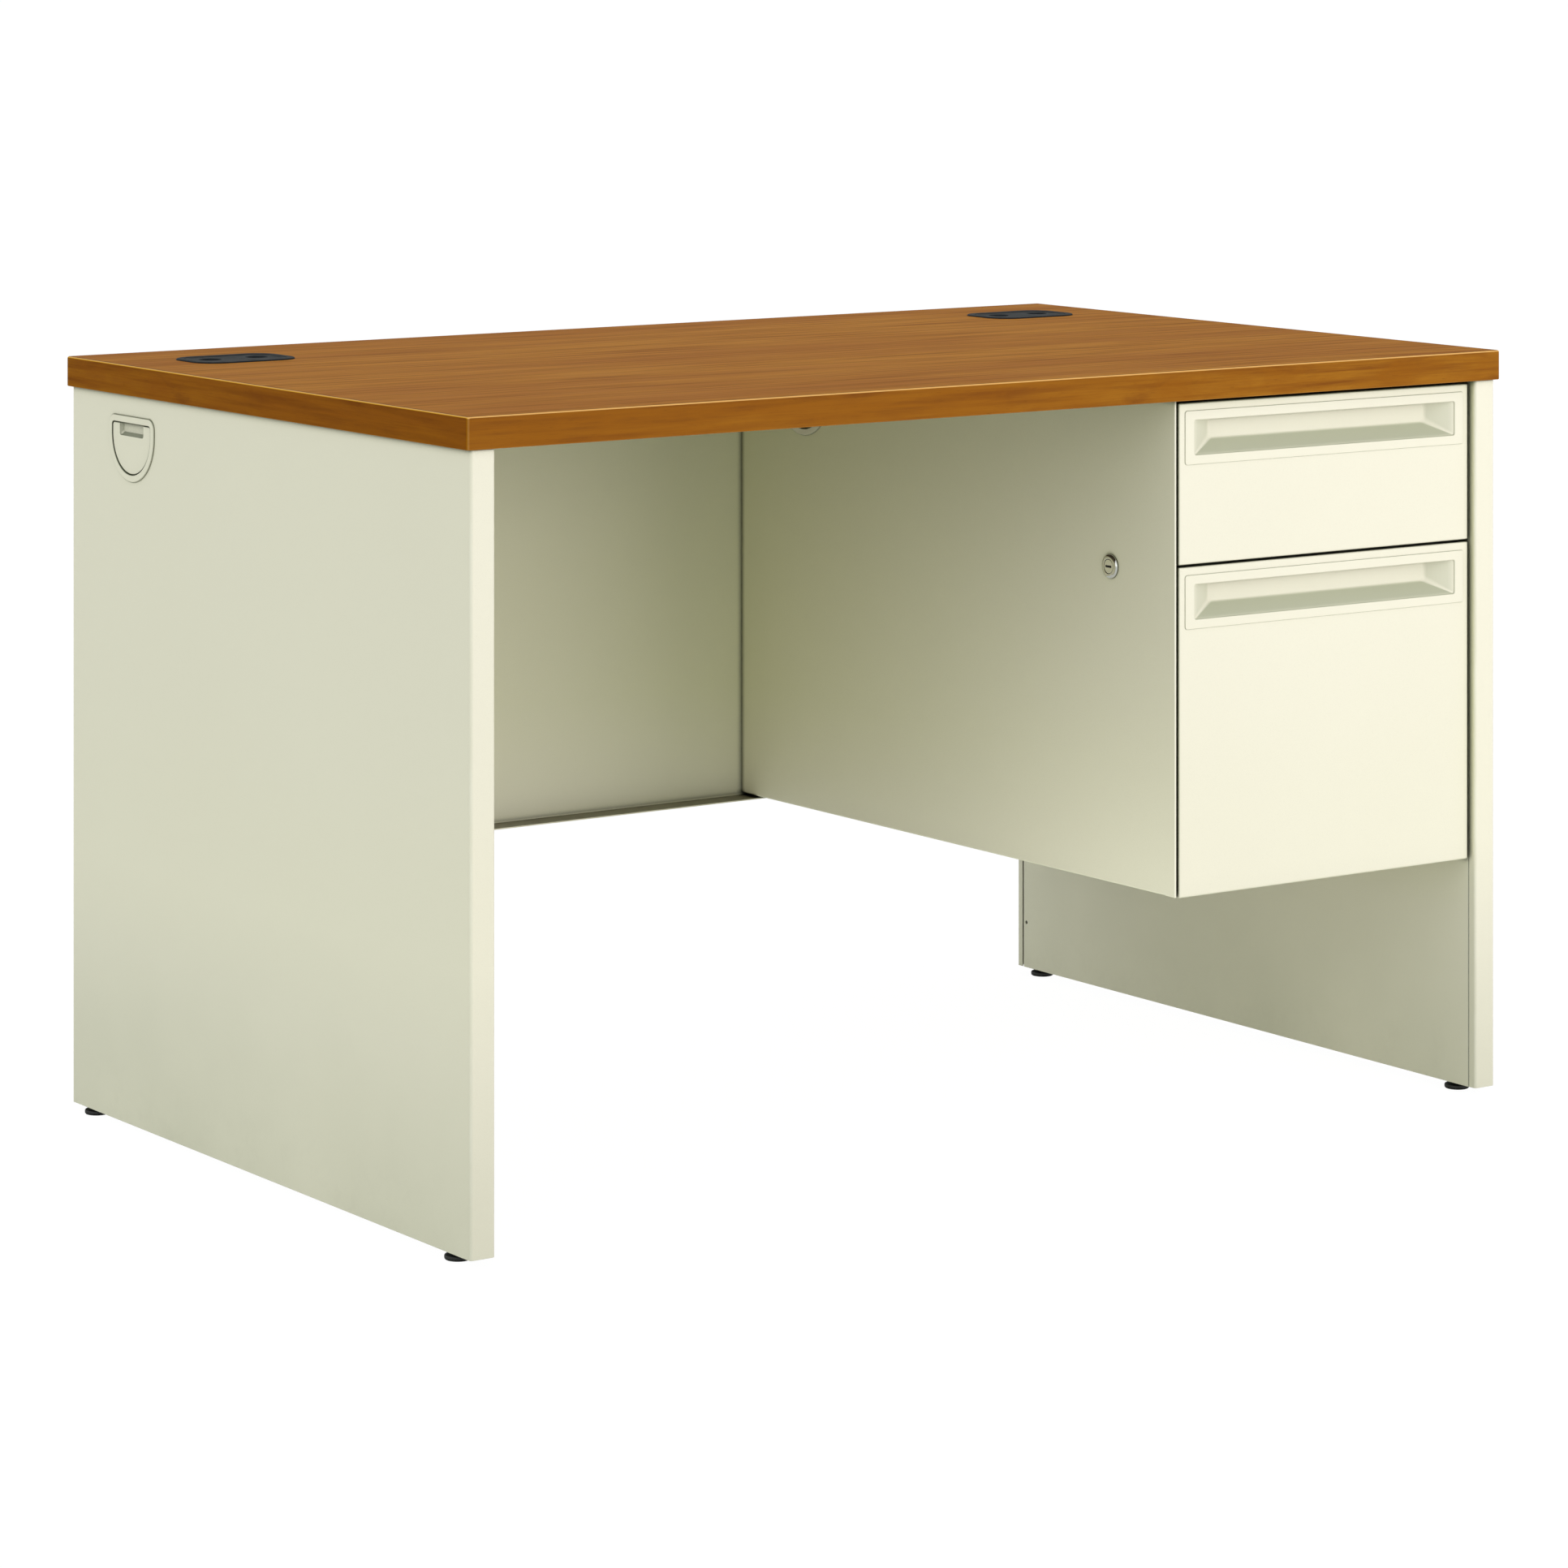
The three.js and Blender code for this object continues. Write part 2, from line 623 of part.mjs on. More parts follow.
function pedestalLeftSide() {
  const hem = box(
    [0, DRAWER_FACE_Y, PED_BOTTOM + PED_BEND],
    [2 * SHEET, DRAWER_FACE_Y + PED_HEM_DEPTH, PANEL_TOP - PED_BEND],
  );
  const panel = joined(pedestalSide(DRAWER_FACE_Y), hem, ...lockBarGuides());
  return cut(panel, barX(LOCK_BARREL_RADIUS + GAP, -OVERRUN, OVERRUN, LOCK_Y, LOCK_Z));
}

function pedestalBack() {
  const left = PED_LEFT + SHEET + GAP;
  const right = PED_RIGHT - SHEET - GAP;
  const path = [
    [right, PED_BACK_Y - PED_BACK_FLANGE],
    [right, PED_BACK_Y],
    [left, PED_BACK_Y],
    [left, PED_BACK_Y - PED_BACK_FLANGE],
  ];
  const low = PED_BOTTOM + 2 * SHEET;
  return alongZ(foldedSheet(path, SHEET, PED_BEND), low, PANEL_TOP - 2 * SHEET);
}

function pedestalBottom() {
  const left = PED_LEFT + SHEET + GAP;
  const right = PED_RIGHT - SHEET - GAP;
  const low = PED_BOTTOM + SHEET + GAP;
  const back = PED_BACK_Y - PED_BACK_FLANGE - PED_BEND;
  return box([left, RAIL_Y + 4, low], [right, back, low + SHEET]);
}

function pedestalCableRing() {
  const rim = alongX(deeOutline(CABLE_RIM), -CABLE_RIM_RISE, -HAIRLINE);
  const tube = alongX(deeOutline(CABLE_WALL), -WELD, SHEET + 6);
  return cut(joined(rim, tube), alongX(deeOutline(0), -OVERRUN, 4 * OVERRUN));
}

// A cross rail between the sides: an angle whose upright faces the sitter.
function crossRail(low, high) {
  const path = [
    [RAIL_Y + RAIL_DEPTH, high],
    [RAIL_Y, high],
    [RAIL_Y, low],
  ];
  const left = PED_LEFT + 2 * SHEET + GAP;
  const right = PED_RIGHT - SHEET - GAP;
  return alongX(foldedSheet(path, SHEET, PED_BEND), left, right);
}

function pedestal() {
  const left = group(
    part("pedestal_left_side", pedestalLeftSide(), puttyPaint),
    part("pedestal_cable_ring", pedestalCableRing(), puttyPlastic),
  );
  left.position.x = PED_LEFT;
  const right = group(part("pedestal_right_side", mirroredX(pedestalSide(RAIL_Y)), puttyPaint));
  right.position.x = PED_RIGHT;
  const seam = (BOX_FRONT_BOTTOM + FILE_FRONT_TOP) / 2;
  const midRail = crossRail(seam - MID_RAIL_HEIGHT / 2, seam + MID_RAIL_HEIGHT / 2);
  const topRail = crossRail(PANEL_TOP - TOP_RAIL_DROP, PANEL_TOP - SHEET - 2 * GAP);
  return group(
    left,
    right,
    part("pedestal_back", pedestalBack(), puttyPaint),
    part("pedestal_bottom", pedestalBottom(), puttyPaint),
    part("pedestal_top_rail", topRail, puttyPaint),
    part("pedestal_mid_rail", midRail, puttyPaint),
  );
}

// ---------------------------------------------------------------- drawer slides
// A telescopic slide in the (x, z) plane, drawn for the right-hand side: x = 0 is the pedestal's
// side and x = -SLIDE_THICKNESS is the drawer's side.

function slideMember(halfHeight, web, lip) {
  const path = [
    [lip, -halfHeight],
    [web, -halfHeight],
    [web, halfHeight],
    [lip, halfHeight],
  ];
  const ordered = web > lip ? path : path.reverse();
  return alongY(foldedSheet(ordered, SLIDE_SHEET, 2), 0, SLIDE_LENGTH);
}

// The standoff's pads hold the member off the pedestal's side.
function slideFixedMember(standoff) {
  const member = slideMember(SLIDE_HEIGHT / 2, 0, -9.4);
  if (standoff === 0) return member;
  const pads = [30, 200, 380].map((y) => box([-WELD, y, -12], [standoff, y + 40, 12]));
  return joined(member, ...pads);
}

function slide(drawer, side, hand, wallX, standoff) {
  const holder = group(
    part(`${drawer}_slide_${side}_fixed`, hand(slideFixedMember(standoff)), zincSteel),
    part(`${drawer}_slide_${side}_middle`, hand(slideMember(18, -2.8, -10.2)), zincSteel),
    part(`${drawer}_slide_${side}_inner`, hand(slideMember(13, -SLIDE_THICKNESS, -5.4)), zincSteel),
  );
  holder.position.x = wallX;
  return holder;
}

function slides(drawer, centreZ) {
  const leftX = PED_LEFT + SHEET + GAP + SLIDE_STANDOFF;
  const rightX = PED_RIGHT - SHEET - GAP;
  const both = group(
    slide(drawer, "left", mirroredX, leftX, SLIDE_STANDOFF),
    slide(drawer, "right", (geometry) => geometry, rightX, 0),
  );
  both.position.set(0, SLIDE_FRONT_Y, centreZ);
  return both;
}

// ---------------------------------------------------------------- drawers

// The pull's opening in the drawer's face, in (x, z) from the front's lower left corner.
function pullCentre(frontHeight) {
  return [(DRAWER_RIGHT - DRAWER_LEFT) / 2, frontHeight - PULL_DROP - PULL_HEIGHT / 2];
}

function scoopSection(shrinkSides, floorLift, grow) {
  const x = PULL_WIDTH / 2 - PULL_FRAME_X - shrinkSides + grow;
  const high = PULL_HEIGHT / 2 - PULL_FRAME_Z + grow;
  const low = -PULL_HEIGHT / 2 + PULL_FRAME_Z + floorLift - grow;
  return [[-x, low], [x, low], [x, high], [-x, high]];
}

// A closed block whose front and rear sections are the scoop's rectangles, grown by a margin.
function scoopBlock(frontY, backY, grow) {
  const depth = backY - frontY;
  const share = depth / SCOOP_DEPTH;
  const front = scoopSection(0, 0, grow).map(([x, z]) => [x, frontY, z]);
  const rear = scoopSection(SCOOP_SIDE_SLOPE * share, SCOOP_FLOOR_SLOPE * share, grow);
  const back = rear.map(([x, z]) => [x, backY, z]);
  const corners = [...front, ...back];
  const faces = [
    [0, 1, 2, 3],
    [7, 6, 5, 4],
    [0, 4, 5, 1],
    [1, 5, 6, 2],
    [2, 6, 7, 3],
    [3, 7, 4, 0],
  ];
  const triangles = faces.flatMap(([a, b, c, d]) => [a, b, c, a, c, d]);
  const geometry = new THREE.BufferGeometry();
  geometry.setAttribute("position", new THREE.BufferAttribute(new Float32Array(corners.flat()), 3));
  geometry.setIndex(triangles);
  return geometry;
}

function drawerPull(frontHeight) {
  const [centreX, centreZ] = pullCentre(frontHeight);
  const x = PULL_WIDTH / 2;
  const z = PULL_HEIGHT / 2;
  const mouthX = x - PULL_FRAME_X;
  const mouthZ = z - PULL_FRAME_Z;
  const plate = box([-x, -PULL_RISE, -z], [x, -HAIRLINE, z]);
  const pocket = scoopBlock(-WELD, SCOOP_DEPTH + PULL_WALL, PULL_WALL);
  const scoop = scoopBlock(0, SCOOP_DEPTH, 0);
  const mouth = box([-mouthX, -OVERRUN, -mouthZ], [mouthX, 0.01, mouthZ]);
  return cut(joined(plate, pocket), scoop, mouth).translate(centreX, 0, centreZ);
}

function drawerFront(frontHeight) {
  const width = DRAWER_RIGHT - DRAWER_LEFT;
  const outer = box([0, 0, 0], [width, DRAWER_FRONT_DEPTH, frontHeight]);
  const inner = box(
    [SHEET, SHEET, SHEET],
    [width - SHEET, DRAWER_FRONT_DEPTH + OVERRUN, frontHeight - SHEET],
  );
  const [centreX, centreZ] = pullCentre(frontHeight);
  const play = PULL_WALL + 1; // the opening round the scoop
  const x = PULL_WIDTH / 2 - PULL_FRAME_X + play;
  const z = PULL_HEIGHT / 2 - PULL_FRAME_Z + play;
  const opening = box([-x, -OVERRUN, -z], [x, SHEET + 1, z]).translate(centreX, 0, centreZ);
  return cut(outer, inner, opening);
}

// An open tray with a lock catch on its left side. X is from the drawer front's left edge, Y from
// its face and Z from the floor.
function drawerBody(low, high, catchZ) {
  const left = BODY_LEFT - DRAWER_LEFT;
  const right = BODY_RIGHT - DRAWER_LEFT;
  const front = BODY_FRONT_Y - DRAWER_FACE_Y;
  const back = BODY_BACK_Y - DRAWER_FACE_Y;
  const wall = BODY_SHEET;
  const tray = cut(
    box([left, front, low], [right, back, high]),
    box([left + wall, front + wall, low + wall], [right - wall, back - wall, high + OVERRUN]),
  );
  const lugRear = lockBarCentreY() - LOCK_BAR_WIDTH / 2 + LUG_THICKNESS;
  const near = lugRear + LUG_THICKNESS - DRAWER_FACE_Y;
  const far = near + LUG_THICKNESS;
  const hook = box([left - CATCH_REACH, near, catchZ], [left + wall / 2, far, catchZ + LUG_HEIGHT]);
  return joined(tray, hook);
}

function pencilTray() {
  const wall = TRAY_WALL;
  const left = BODY_LEFT - DRAWER_LEFT + BODY_SHEET + GAP;
  const right = BODY_RIGHT - DRAWER_LEFT - BODY_SHEET - GAP;
  const front = BODY_FRONT_Y - DRAWER_FACE_Y + BODY_SHEET + 2;
  const high = BOX_BODY_TOP - TRAY_DROP;
  const low = high - TRAY_HEIGHT;
  const split = left + (right - left) * TRAY_SPLIT;
  const cell = (x0, x1, y0, y1) => {
    return box([x0, front + y0, low + wall], [x1, front + y1, high + OVERRUN]);
  };
  return cut(
    box([left, front, low], [right, front + TRAY_DEPTH, high]),
    cell(left + wall, split - wall / 2, wall, TRAY_ROWS[0]),
    cell(left + wall, split - wall / 2, TRAY_ROWS[0] + wall, TRAY_ROWS[1]),
    cell(left + wall, split - wall / 2, TRAY_ROWS[1] + wall, TRAY_DEPTH - wall),
    cell(split + wall / 2, right - wall, wall, TRAY_DEPTH / 2),
    cell(split + wall / 2, right - wall, TRAY_DEPTH / 2 + wall, TRAY_DEPTH - wall),
  );
}

function boxDivider() {
  const left = BODY_LEFT - DRAWER_LEFT + BODY_SHEET + GAP;
  const right = BODY_RIGHT - DRAWER_LEFT - BODY_SHEET - GAP;
  const y = BODY_BACK_Y - DRAWER_FACE_Y - DIVIDER_BACK;
  const low = BOX_BODY_BOTTOM + BODY_SHEET + GAP;
  return box([left, y, low], [right, y + DIVIDER_THICKNESS, BOX_BODY_TOP - DIVIDER_DROP]);
}

// An upright strip with a foot at each end, in (x, y).
function hangingRail(offsetX) {
  const front = BODY_FRONT_Y - DRAWER_FACE_Y + BODY_SHEET + GAP;
  const back = BODY_BACK_Y - DRAWER_FACE_Y - BODY_SHEET - GAP;
  const middle = (BODY_LEFT + BODY_RIGHT) / 2 - DRAWER_LEFT + offsetX;
  const foot = HANGING_RAIL_FOOT;
  const sheet = HANGING_RAIL_SHEET;
  const half = sheet / 2;
  const outline = [
    [middle - foot, front],
    [middle + foot, front],
    [middle + foot, front + sheet],
    [middle + half, front + sheet],
    [middle + half, back - sheet],
    [middle + foot, back - sheet],
    [middle + foot, back],
    [middle - foot, back],
    [middle - foot, back - sheet],
    [middle - half, back - sheet],
    [middle - half, front + sheet],
    [middle - foot, front + sheet],
  ];
  return alongZ(shapeFrom(outline), FILE_BODY_TOP - 16, FILE_BODY_TOP - 2);
}

function drawer(name, low, high, ...contents) {
  const front = group(
    part(`${name}_front`, drawerFront(high - low), puttyPaint),
    part(`${name}_pull`, drawerPull(high - low), puttyPlastic),
  );
  front.position.z = low;
  const whole = group(front, ...contents);
  whole.position.set(DRAWER_LEFT, DRAWER_FACE_Y, 0);
  return whole;
}

// ---------------------------------------------------------------- lock
// The plug turns a cam behind the pedestal's side. The cam's pin moves the bar, whose lugs drop in
// front of the drawers' catches. Drawn unlocked, about the plug's axis, with X from the side's outer
// face.

const CAM_X = LOCK_BAR_X + LOCK_BAR_THICKNESS + 2 * GAP;
const BARREL_END_X = LOCK_BAR_X - WELD;

function lockBarCentreY() {
  return LOCK_Y + (LOCK_ARM * (1 + Math.SQRT1_2)) / 2;
}

function lockHousing() {
  const flange = barX(LOCK_BEZEL_RADIUS, -LOCK_BEZEL_RISE, -HAIRLINE, 0, 0, 36);
  const barrel = barX(LOCK_BARREL_RADIUS, -WELD, BARREL_END_X, 0, 0, 36);
  const bore = barX(LOCK_PLUG_RADIUS + LOCK_TURN_CLEARANCE, -2 * OVERRUN, 2 * OVERRUN, 0, 0, 32);
  return cut(joined(flange, barrel), bore);
}

function lockPlug() {
  const [slotHeight, slotWidth] = KEY_SLOT;
  const face = barX(LOCK_PLUG_RADIUS, -LOCK_PLUG_RISE, BARREL_END_X, 0, 0, 32);
  const neck = barX(LOCK_NECK_RADIUS, 0, CAM_X - HAIRLINE, 0, 0, 16);
  const keySlot = box([-OVERRUN, -slotHeight / 2, -slotWidth / 2], [WELD, slotHeight / 2, slotWidth / 2]);
  return cut(joined(face, neck), keySlot);
}

function lockNut() {
  const near = SHEET + 2 * HAIRLINE;
  const hexagon = barX(LOCK_BARREL_RADIUS + 3, near, near + LOCK_NUT_THICKNESS, 0, 0, 6);
  return cut(hexagon, barX(LOCK_BARREL_RADIUS + LOCK_TURN_CLEARANCE, 0, 2 * OVERRUN, 0, 0));
}

function lockCam() {
  const far = CAM_X + LOCK_CAM_THICKNESS;
  const half = LOCK_CAM_HALF;
  const arm = box([CAM_X, -half, -half], [far, LOCK_ARM, half]);
  const ends = [barX(half, CAM_X, far, 0, 0), barX(half, CAM_X, far, LOCK_ARM, 0)];
  const pin = barX(LOCK_PIN_RADIUS, BARREL_END_X, CAM_X + WELD, LOCK_ARM, 0, 16);
  return joined(arm, ...ends, pin).rotateX(Math.PI / 4);
}

function lockBar() {
  const y = lockBarCentreY() - LOCK_Y;
  const half = LOCK_BAR_WIDTH / 2;
  const near = LOCK_BAR_X;
  const far = LOCK_BAR_X + LOCK_BAR_THICKNESS;
  const strip = box([near, y - half, LOCK_BAR_BOTTOM - LOCK_Z], [far, y + half, LOCK_BAR_TOP - LOCK_Z]);
  const lugs = [BOX_LUG_Z, FILE_LUG_Z].map((z) => {
    const low = z - LOCK_Z;
    return box([near, y - half, low], [LUG_REACH, y - half + LUG_THICKNESS, low + LUG_HEIGHT]);
  });
  const pinZ = LOCK_ARM * Math.SQRT1_2;
  const slotHalf = LOCK_PIN_RADIUS + LOCK_PIN_PLAY;
  const slot = box([0, y - half + 1.6, pinZ - slotHalf], [2 * OVERRUN, y + half - 1.6, pinZ + slotHalf]);
  return cut(joined(strip, ...lugs), slot);
}

function lock() {
  const set = group(
    part("lock_housing", lockHousing(), chrome),
    part("lock_plug", lockPlug(), chrome),
    part("lock_nut", lockNut(), zincSteel),
    part("lock_cam", lockCam(), zincSteel),
    part("lock_bar", lockBar(), zincSteel),
  );
  set.position.set(PED_LEFT, LOCK_Y, LOCK_Z);
  return set;
}

// ---------------------------------------------------------------- the desk

const boxBody = drawerBody(BOX_BODY_BOTTOM, BOX_BODY_TOP, BOX_LUG_Z - CATCH_DROP);
const fileBody = drawerBody(FILE_BODY_BOTTOM, FILE_BODY_TOP, FILE_LUG_Z - CATCH_DROP);

const boxDrawer = drawer(
  "box_drawer",
  BOX_FRONT_BOTTOM,
  BOX_FRONT_TOP,
  part("box_drawer_body", boxBody, puttyPaint),
  part("box_drawer_pencil_tray", pencilTray(), greyPlastic),
  part("box_drawer_divider", boxDivider(), zincSteel),
);

const fileDrawer = drawer(
  "file_drawer",
  FILE_FRONT_BOTTOM,
  FILE_FRONT_TOP,
  part("file_drawer_body", fileBody, puttyPaint),
  part("file_drawer_rail_left", hangingRail(-HANGING_RAIL_SPACING / 2), zincSteel),
  part("file_drawer_rail_right", hangingRail(HANGING_RAIL_SPACING / 2), zincSteel),
);

const desk = group(
  worktop(),
  grommet("left", -GROMMET_X),
  grommet("right", GROMMET_X),
  endPanel("left"),
  endPanel("right"),
  modestyPanel(),
  pedestal(),
  slides("box", BOX_SLIDE_Z),
  slides("file", FILE_SLIDE_Z),
  boxDrawer,
  fileDrawer,
  lock(),
);
desk.name = "teacher_desk";

export default desk;
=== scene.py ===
import json
import math

import bmesh
import bpy
from mathutils import Matrix, Vector

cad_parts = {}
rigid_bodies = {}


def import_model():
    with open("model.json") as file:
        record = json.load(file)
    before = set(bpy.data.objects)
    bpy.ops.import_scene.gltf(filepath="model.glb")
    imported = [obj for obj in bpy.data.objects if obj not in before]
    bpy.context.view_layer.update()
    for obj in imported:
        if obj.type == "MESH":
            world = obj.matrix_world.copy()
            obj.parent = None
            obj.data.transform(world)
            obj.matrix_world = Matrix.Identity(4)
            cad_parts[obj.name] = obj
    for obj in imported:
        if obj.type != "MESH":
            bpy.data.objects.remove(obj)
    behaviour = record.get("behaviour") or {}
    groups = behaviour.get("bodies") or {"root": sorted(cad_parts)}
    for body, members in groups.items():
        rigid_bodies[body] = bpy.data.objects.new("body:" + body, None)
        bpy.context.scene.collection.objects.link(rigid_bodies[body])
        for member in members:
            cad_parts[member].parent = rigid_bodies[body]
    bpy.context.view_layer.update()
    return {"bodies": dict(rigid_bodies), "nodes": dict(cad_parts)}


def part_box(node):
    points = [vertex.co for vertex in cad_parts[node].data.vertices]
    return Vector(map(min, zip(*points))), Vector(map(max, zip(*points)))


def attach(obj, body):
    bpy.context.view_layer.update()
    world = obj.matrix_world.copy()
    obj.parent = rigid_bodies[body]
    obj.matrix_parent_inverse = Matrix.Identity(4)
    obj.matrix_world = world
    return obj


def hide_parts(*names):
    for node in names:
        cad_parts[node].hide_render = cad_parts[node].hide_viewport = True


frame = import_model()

# The finished looks of the desk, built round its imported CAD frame. Shapes are drawn in millimetres
# in the desk's own frame, from the CAD nodes' boxes, and become metres as each piece is made.

MM = 0.001
SCENE = bpy.context.scene

SHEET = 1.2  # steel sheet
HAIRLINE = 0.1  # clearance between pieces that bear on each other
HOLE_PLAY = 0.3  # between a tube and the hole it passes through
OVERRUN = 5.0  # how far a cutting tool runs past the face it cuts
CORNER_STEPS = 7
SIDES = ("left", "right")
DRAWERS = ("box", "file")

# ---------- materials


def linear(red, green, blue):
    """A colour given as 0 to 255 display values."""
    shares = [value / 255 for value in (red, green, blue)]
    return tuple(s / 12.92 if s <= 0.04045 else ((s + 0.055) / 1.055) ** 2.4 for s in shares) + (1.0,)


class Graph:
    """The shader nodes of one material, or of the world, with short names for what they share."""

    def __init__(self, owner, space="Object"):
        self.owner = owner
        owner.use_nodes = True
        self.tree = owner.node_tree
        self.tree.nodes.clear()
        self.place = self.node("TexCoord").outputs[space]

    def node(self, kind, inputs=None, **settings):
        made = self.tree.nodes.new("ShaderNode" + kind)
        for key, value in settings.items():
            setattr(made, key, value)
        for key, value in (inputs or {}).items():
            if isinstance(value, bpy.types.NodeSocket):
                self.tree.links.new(value, made.inputs[key])
            else:
                made.inputs[key].default_value = value
        return made

    def math(self, operation, first, second=0.0):
        return self.node("Math", {0: first, 1: second}, operation=operation).outputs[0]

    def product(self, first, second):
        return self.math("MULTIPLY", first, second)

    def split(self, vector):
        return self.node("SeparateXYZ", {0: vector}).outputs

    def join(self, x, y, z):
        return self.node("CombineXYZ", {0: x, 1: y, 2: z}).outputs[0]

    def facing(self, kind="Normal"):
        """The surface normal's x, y and z."""
        return self.split(self.node("NewGeometry").outputs[kind])

    def seen(self):
        """1 for what the camera sees directly."""
        return self.node("LightPath").outputs["Is Camera Ray"]

    def stretched(self, factors):
        """The place, scaled along each axis."""
        return self.node("VectorMath", {0: self.place, 1: factors}, operation="MULTIPLY").outputs[0]

    def noise(self, scale, detail=3.0, roughness=0.55, vector=None, distortion=0.0):
        inputs = {
            "Vector": vector or self.place,
            "Scale": scale,
            "Detail": detail,
            "Roughness": roughness,
            "Distortion": distortion,
        }
        return self.node("TexNoise", inputs).outputs[0]

    def spread(self, value, low, high, start=0.0, end=1.0):
        """Maps start..end to low..high, held at the ends."""
        inputs = {0: value, 1: start, 2: end, 3: low, 4: high}
        return self.node("MapRange", inputs).outputs[0]

    def patches(self, scale, detail, low, high, start=0.3, end=0.7):
        """Noise spread over low..high."""
        return self.spread(self.noise(scale, detail), low, high, start, end)

    def blend(self, factor, first, second, mode="MIX"):
        inputs = {0: factor, 6: first, 7: second}
        return self.node("Mix", inputs, data_type="RGBA", blend_type=mode).outputs[2]

    def filtered(self, first, second):
        """One colour multiplied by another."""
        return self.blend(1.0, first, second, "MULTIPLY")

    def bump(self, height, depth_mm, normal=None):
        inputs = {"Height": height, "Distance": depth_mm * MM, "Strength": 1.0}
        if normal is not None:
            inputs["Normal"] = normal
        return self.node("Bump", inputs).outputs[0]

    def finish(self, colour, roughness, bump, level=0.5, metallic=0.0):
        inputs = {
            "Base Color": colour,
            "Roughness": roughness,
            "Normal": bump,
            "Specular IOR Level": level,
            "Metallic": metallic,
        }
        shader = self.node("BsdfPrincipled", inputs)
        self.node("OutputMaterial", {0: shader.outputs[0]})
        return self.owner


def material_graph(name):
    return Graph(bpy.data.materials.new(name))


PUTTY_LIGHT = (0.815, 0.782, 0.640, 1.0)
PUTTY_DARK = (0.785, 0.748, 0.605, 1.0)
PUTTY_DUST = (0.52, 0.48, 0.38, 1.0)
PUTTY_FLOOR_SHADE = (0.36, 0.37, 0.27, 1.0)
PUTTY_LEDGE_SHADE = (0.20, 0.18, 0.125, 1.0)
PUTTY_RUBBED = (0.90, 0.88, 0.78, 1.0)
# Colours of the painted shade in the pulls' scoops and the doors' pockets.
SCOOP_SHADE = (0.385, 0.410, 0.285, 1.0)
DOOR_SHADE = (0.150, 0.165, 0.105, 1.0)
# The olive that painted shade in creases turns towards.
CREASE_SHADE_TINT = (0.55, 0.58, 0.42, 1.0)
# Reach and tint of the painted shade on sheltered faces.
SHELTER_SHADE_REACH = 600.0
SHELTERED_SHADE_TINT = (0.92, 0.955, 0.78, 1.0)
LEDGE_TOP = 0.2388  # metres: only ledges below this get painted shade


def crevice(graph, reach_mm, darkest, start=0.35, end=0.88):
    """1 on open faces, falling to the given share deep in gaps and folds: the strength of painted shade
    there.
    """
    made = graph.node("AmbientOcclusion", {"Distance": reach_mm * MM}, samples=6)
    return graph.spread(made.outputs["AO"], darkest, 1.0, start, end)


def shade(graph, tone, *recess):
    """Painted shade: the tone darkened in crevices, and turned a little towards olive as it darkens."""
    factor = crevice(graph, *recess)
    tint = graph.blend(factor, CREASE_SHADE_TINT, (1.0, 1.0, 1.0, 1.0))
    return graph.filtered(graph.filtered(tone, graph.join(factor, factor, factor)), tint)


def rounded_edge(graph):
    """1 on bends and softened edges, which face between the desk's own directions."""
    facing = graph.facing()
    squareness = graph.math("ABSOLUTE", facing[0])
    for axis in (1, 2):
        squareness = graph.math("MAXIMUM", squareness, graph.math("ABSOLUTE", facing[axis]))
    return graph.spread(squareness, 1.0, 0.0, 0.88, 0.97)


def powder_coat():
    """Putty powder coat on steel: satin, with an orange-peel skin. It is scuffed near the floor, and has
    painted shade in patches near the floor, on low ledges and in creases, with an olive tint where other
    faces shelter it."""
    graph = material_graph("putty_powder_coat")
    tone = graph.blend(graph.noise(2.3, 2.0), PUTTY_DARK, PUTTY_LIGHT)
    grains = graph.patches(1400.0, 1.0, 0.0, 0.10, 0.52, 0.75)
    tone = graph.blend(grains, tone, PUTTY_DUST)
    patchy = graph.patches(14.0, 4.0, 0.05, 0.40, 0.40, 0.65)
    tone = graph.blend(graph.product(rounded_edge(graph), patchy), tone, PUTTY_RUBBED)
    height = graph.split(graph.place)[2]
    low = graph.spread(height, 0.16, 0.0, 0.008, 0.09)
    scuffs = graph.spread(graph.noise(26.0, 6.0, 0.7), 0.0, 1.0, 0.50, 0.72)
    tone = graph.blend(graph.product(low, scuffs), tone, PUTTY_DUST)
    # Painted shade near the floor, in patches: darker towards the bottom.
    floor_shade = graph.product(graph.spread(height, 0.70, 0.0, 0.0, 0.26), graph.noise(3.0, 3.0))
    tone = graph.blend(floor_shade, tone, PUTTY_FLOOR_SHADE)
    # Painted shade on low ledges that face upward, in patches.
    upward = graph.spread(graph.facing()[2], 0.0, 1.0, 0.80, 0.97)
    ledge_shade = graph.product(upward, graph.math("LESS_THAN", height, LEDGE_TOP))
    ledge_shading = graph.product(ledge_shade, graph.patches(9.0, 4.0, 0.75, 0.95))
    tone = graph.blend(ledge_shading, tone, PUTTY_LEDGE_SHADE)
    # Painted shade: faces sheltered by others, away from the floor, turn darker and more olive, for the
    # light that reaches them off other painted faces.
    sheltered_shade = graph.math("SUBTRACT", 1.0, crevice(graph, SHELTER_SHADE_REACH, 0.0, 0.30, 0.85))
    sheltered_shade = graph.product(sheltered_shade, graph.spread(height, 0.0, 1.0, 0.18, 0.36))
    tone = graph.blend(sheltered_shade, tone, graph.filtered(tone, SHELTERED_SHADE_TINT))
    # Painted shade in gaps and folds.
    tone = shade(graph, tone, 8.0, 0.04, 0.34, 0.86)
    peel = graph.noise(420.0, 1.5, 0.4)
    fine = graph.noise(2600.0, 1.0, 0.5)
    skin = graph.bump(fine, 0.004, graph.bump(peel, 0.018))
    rough = graph.patches(7.0, 4.0, 0.40, 0.50)
    return graph.finish(tone, rough, skin, level=0.42)


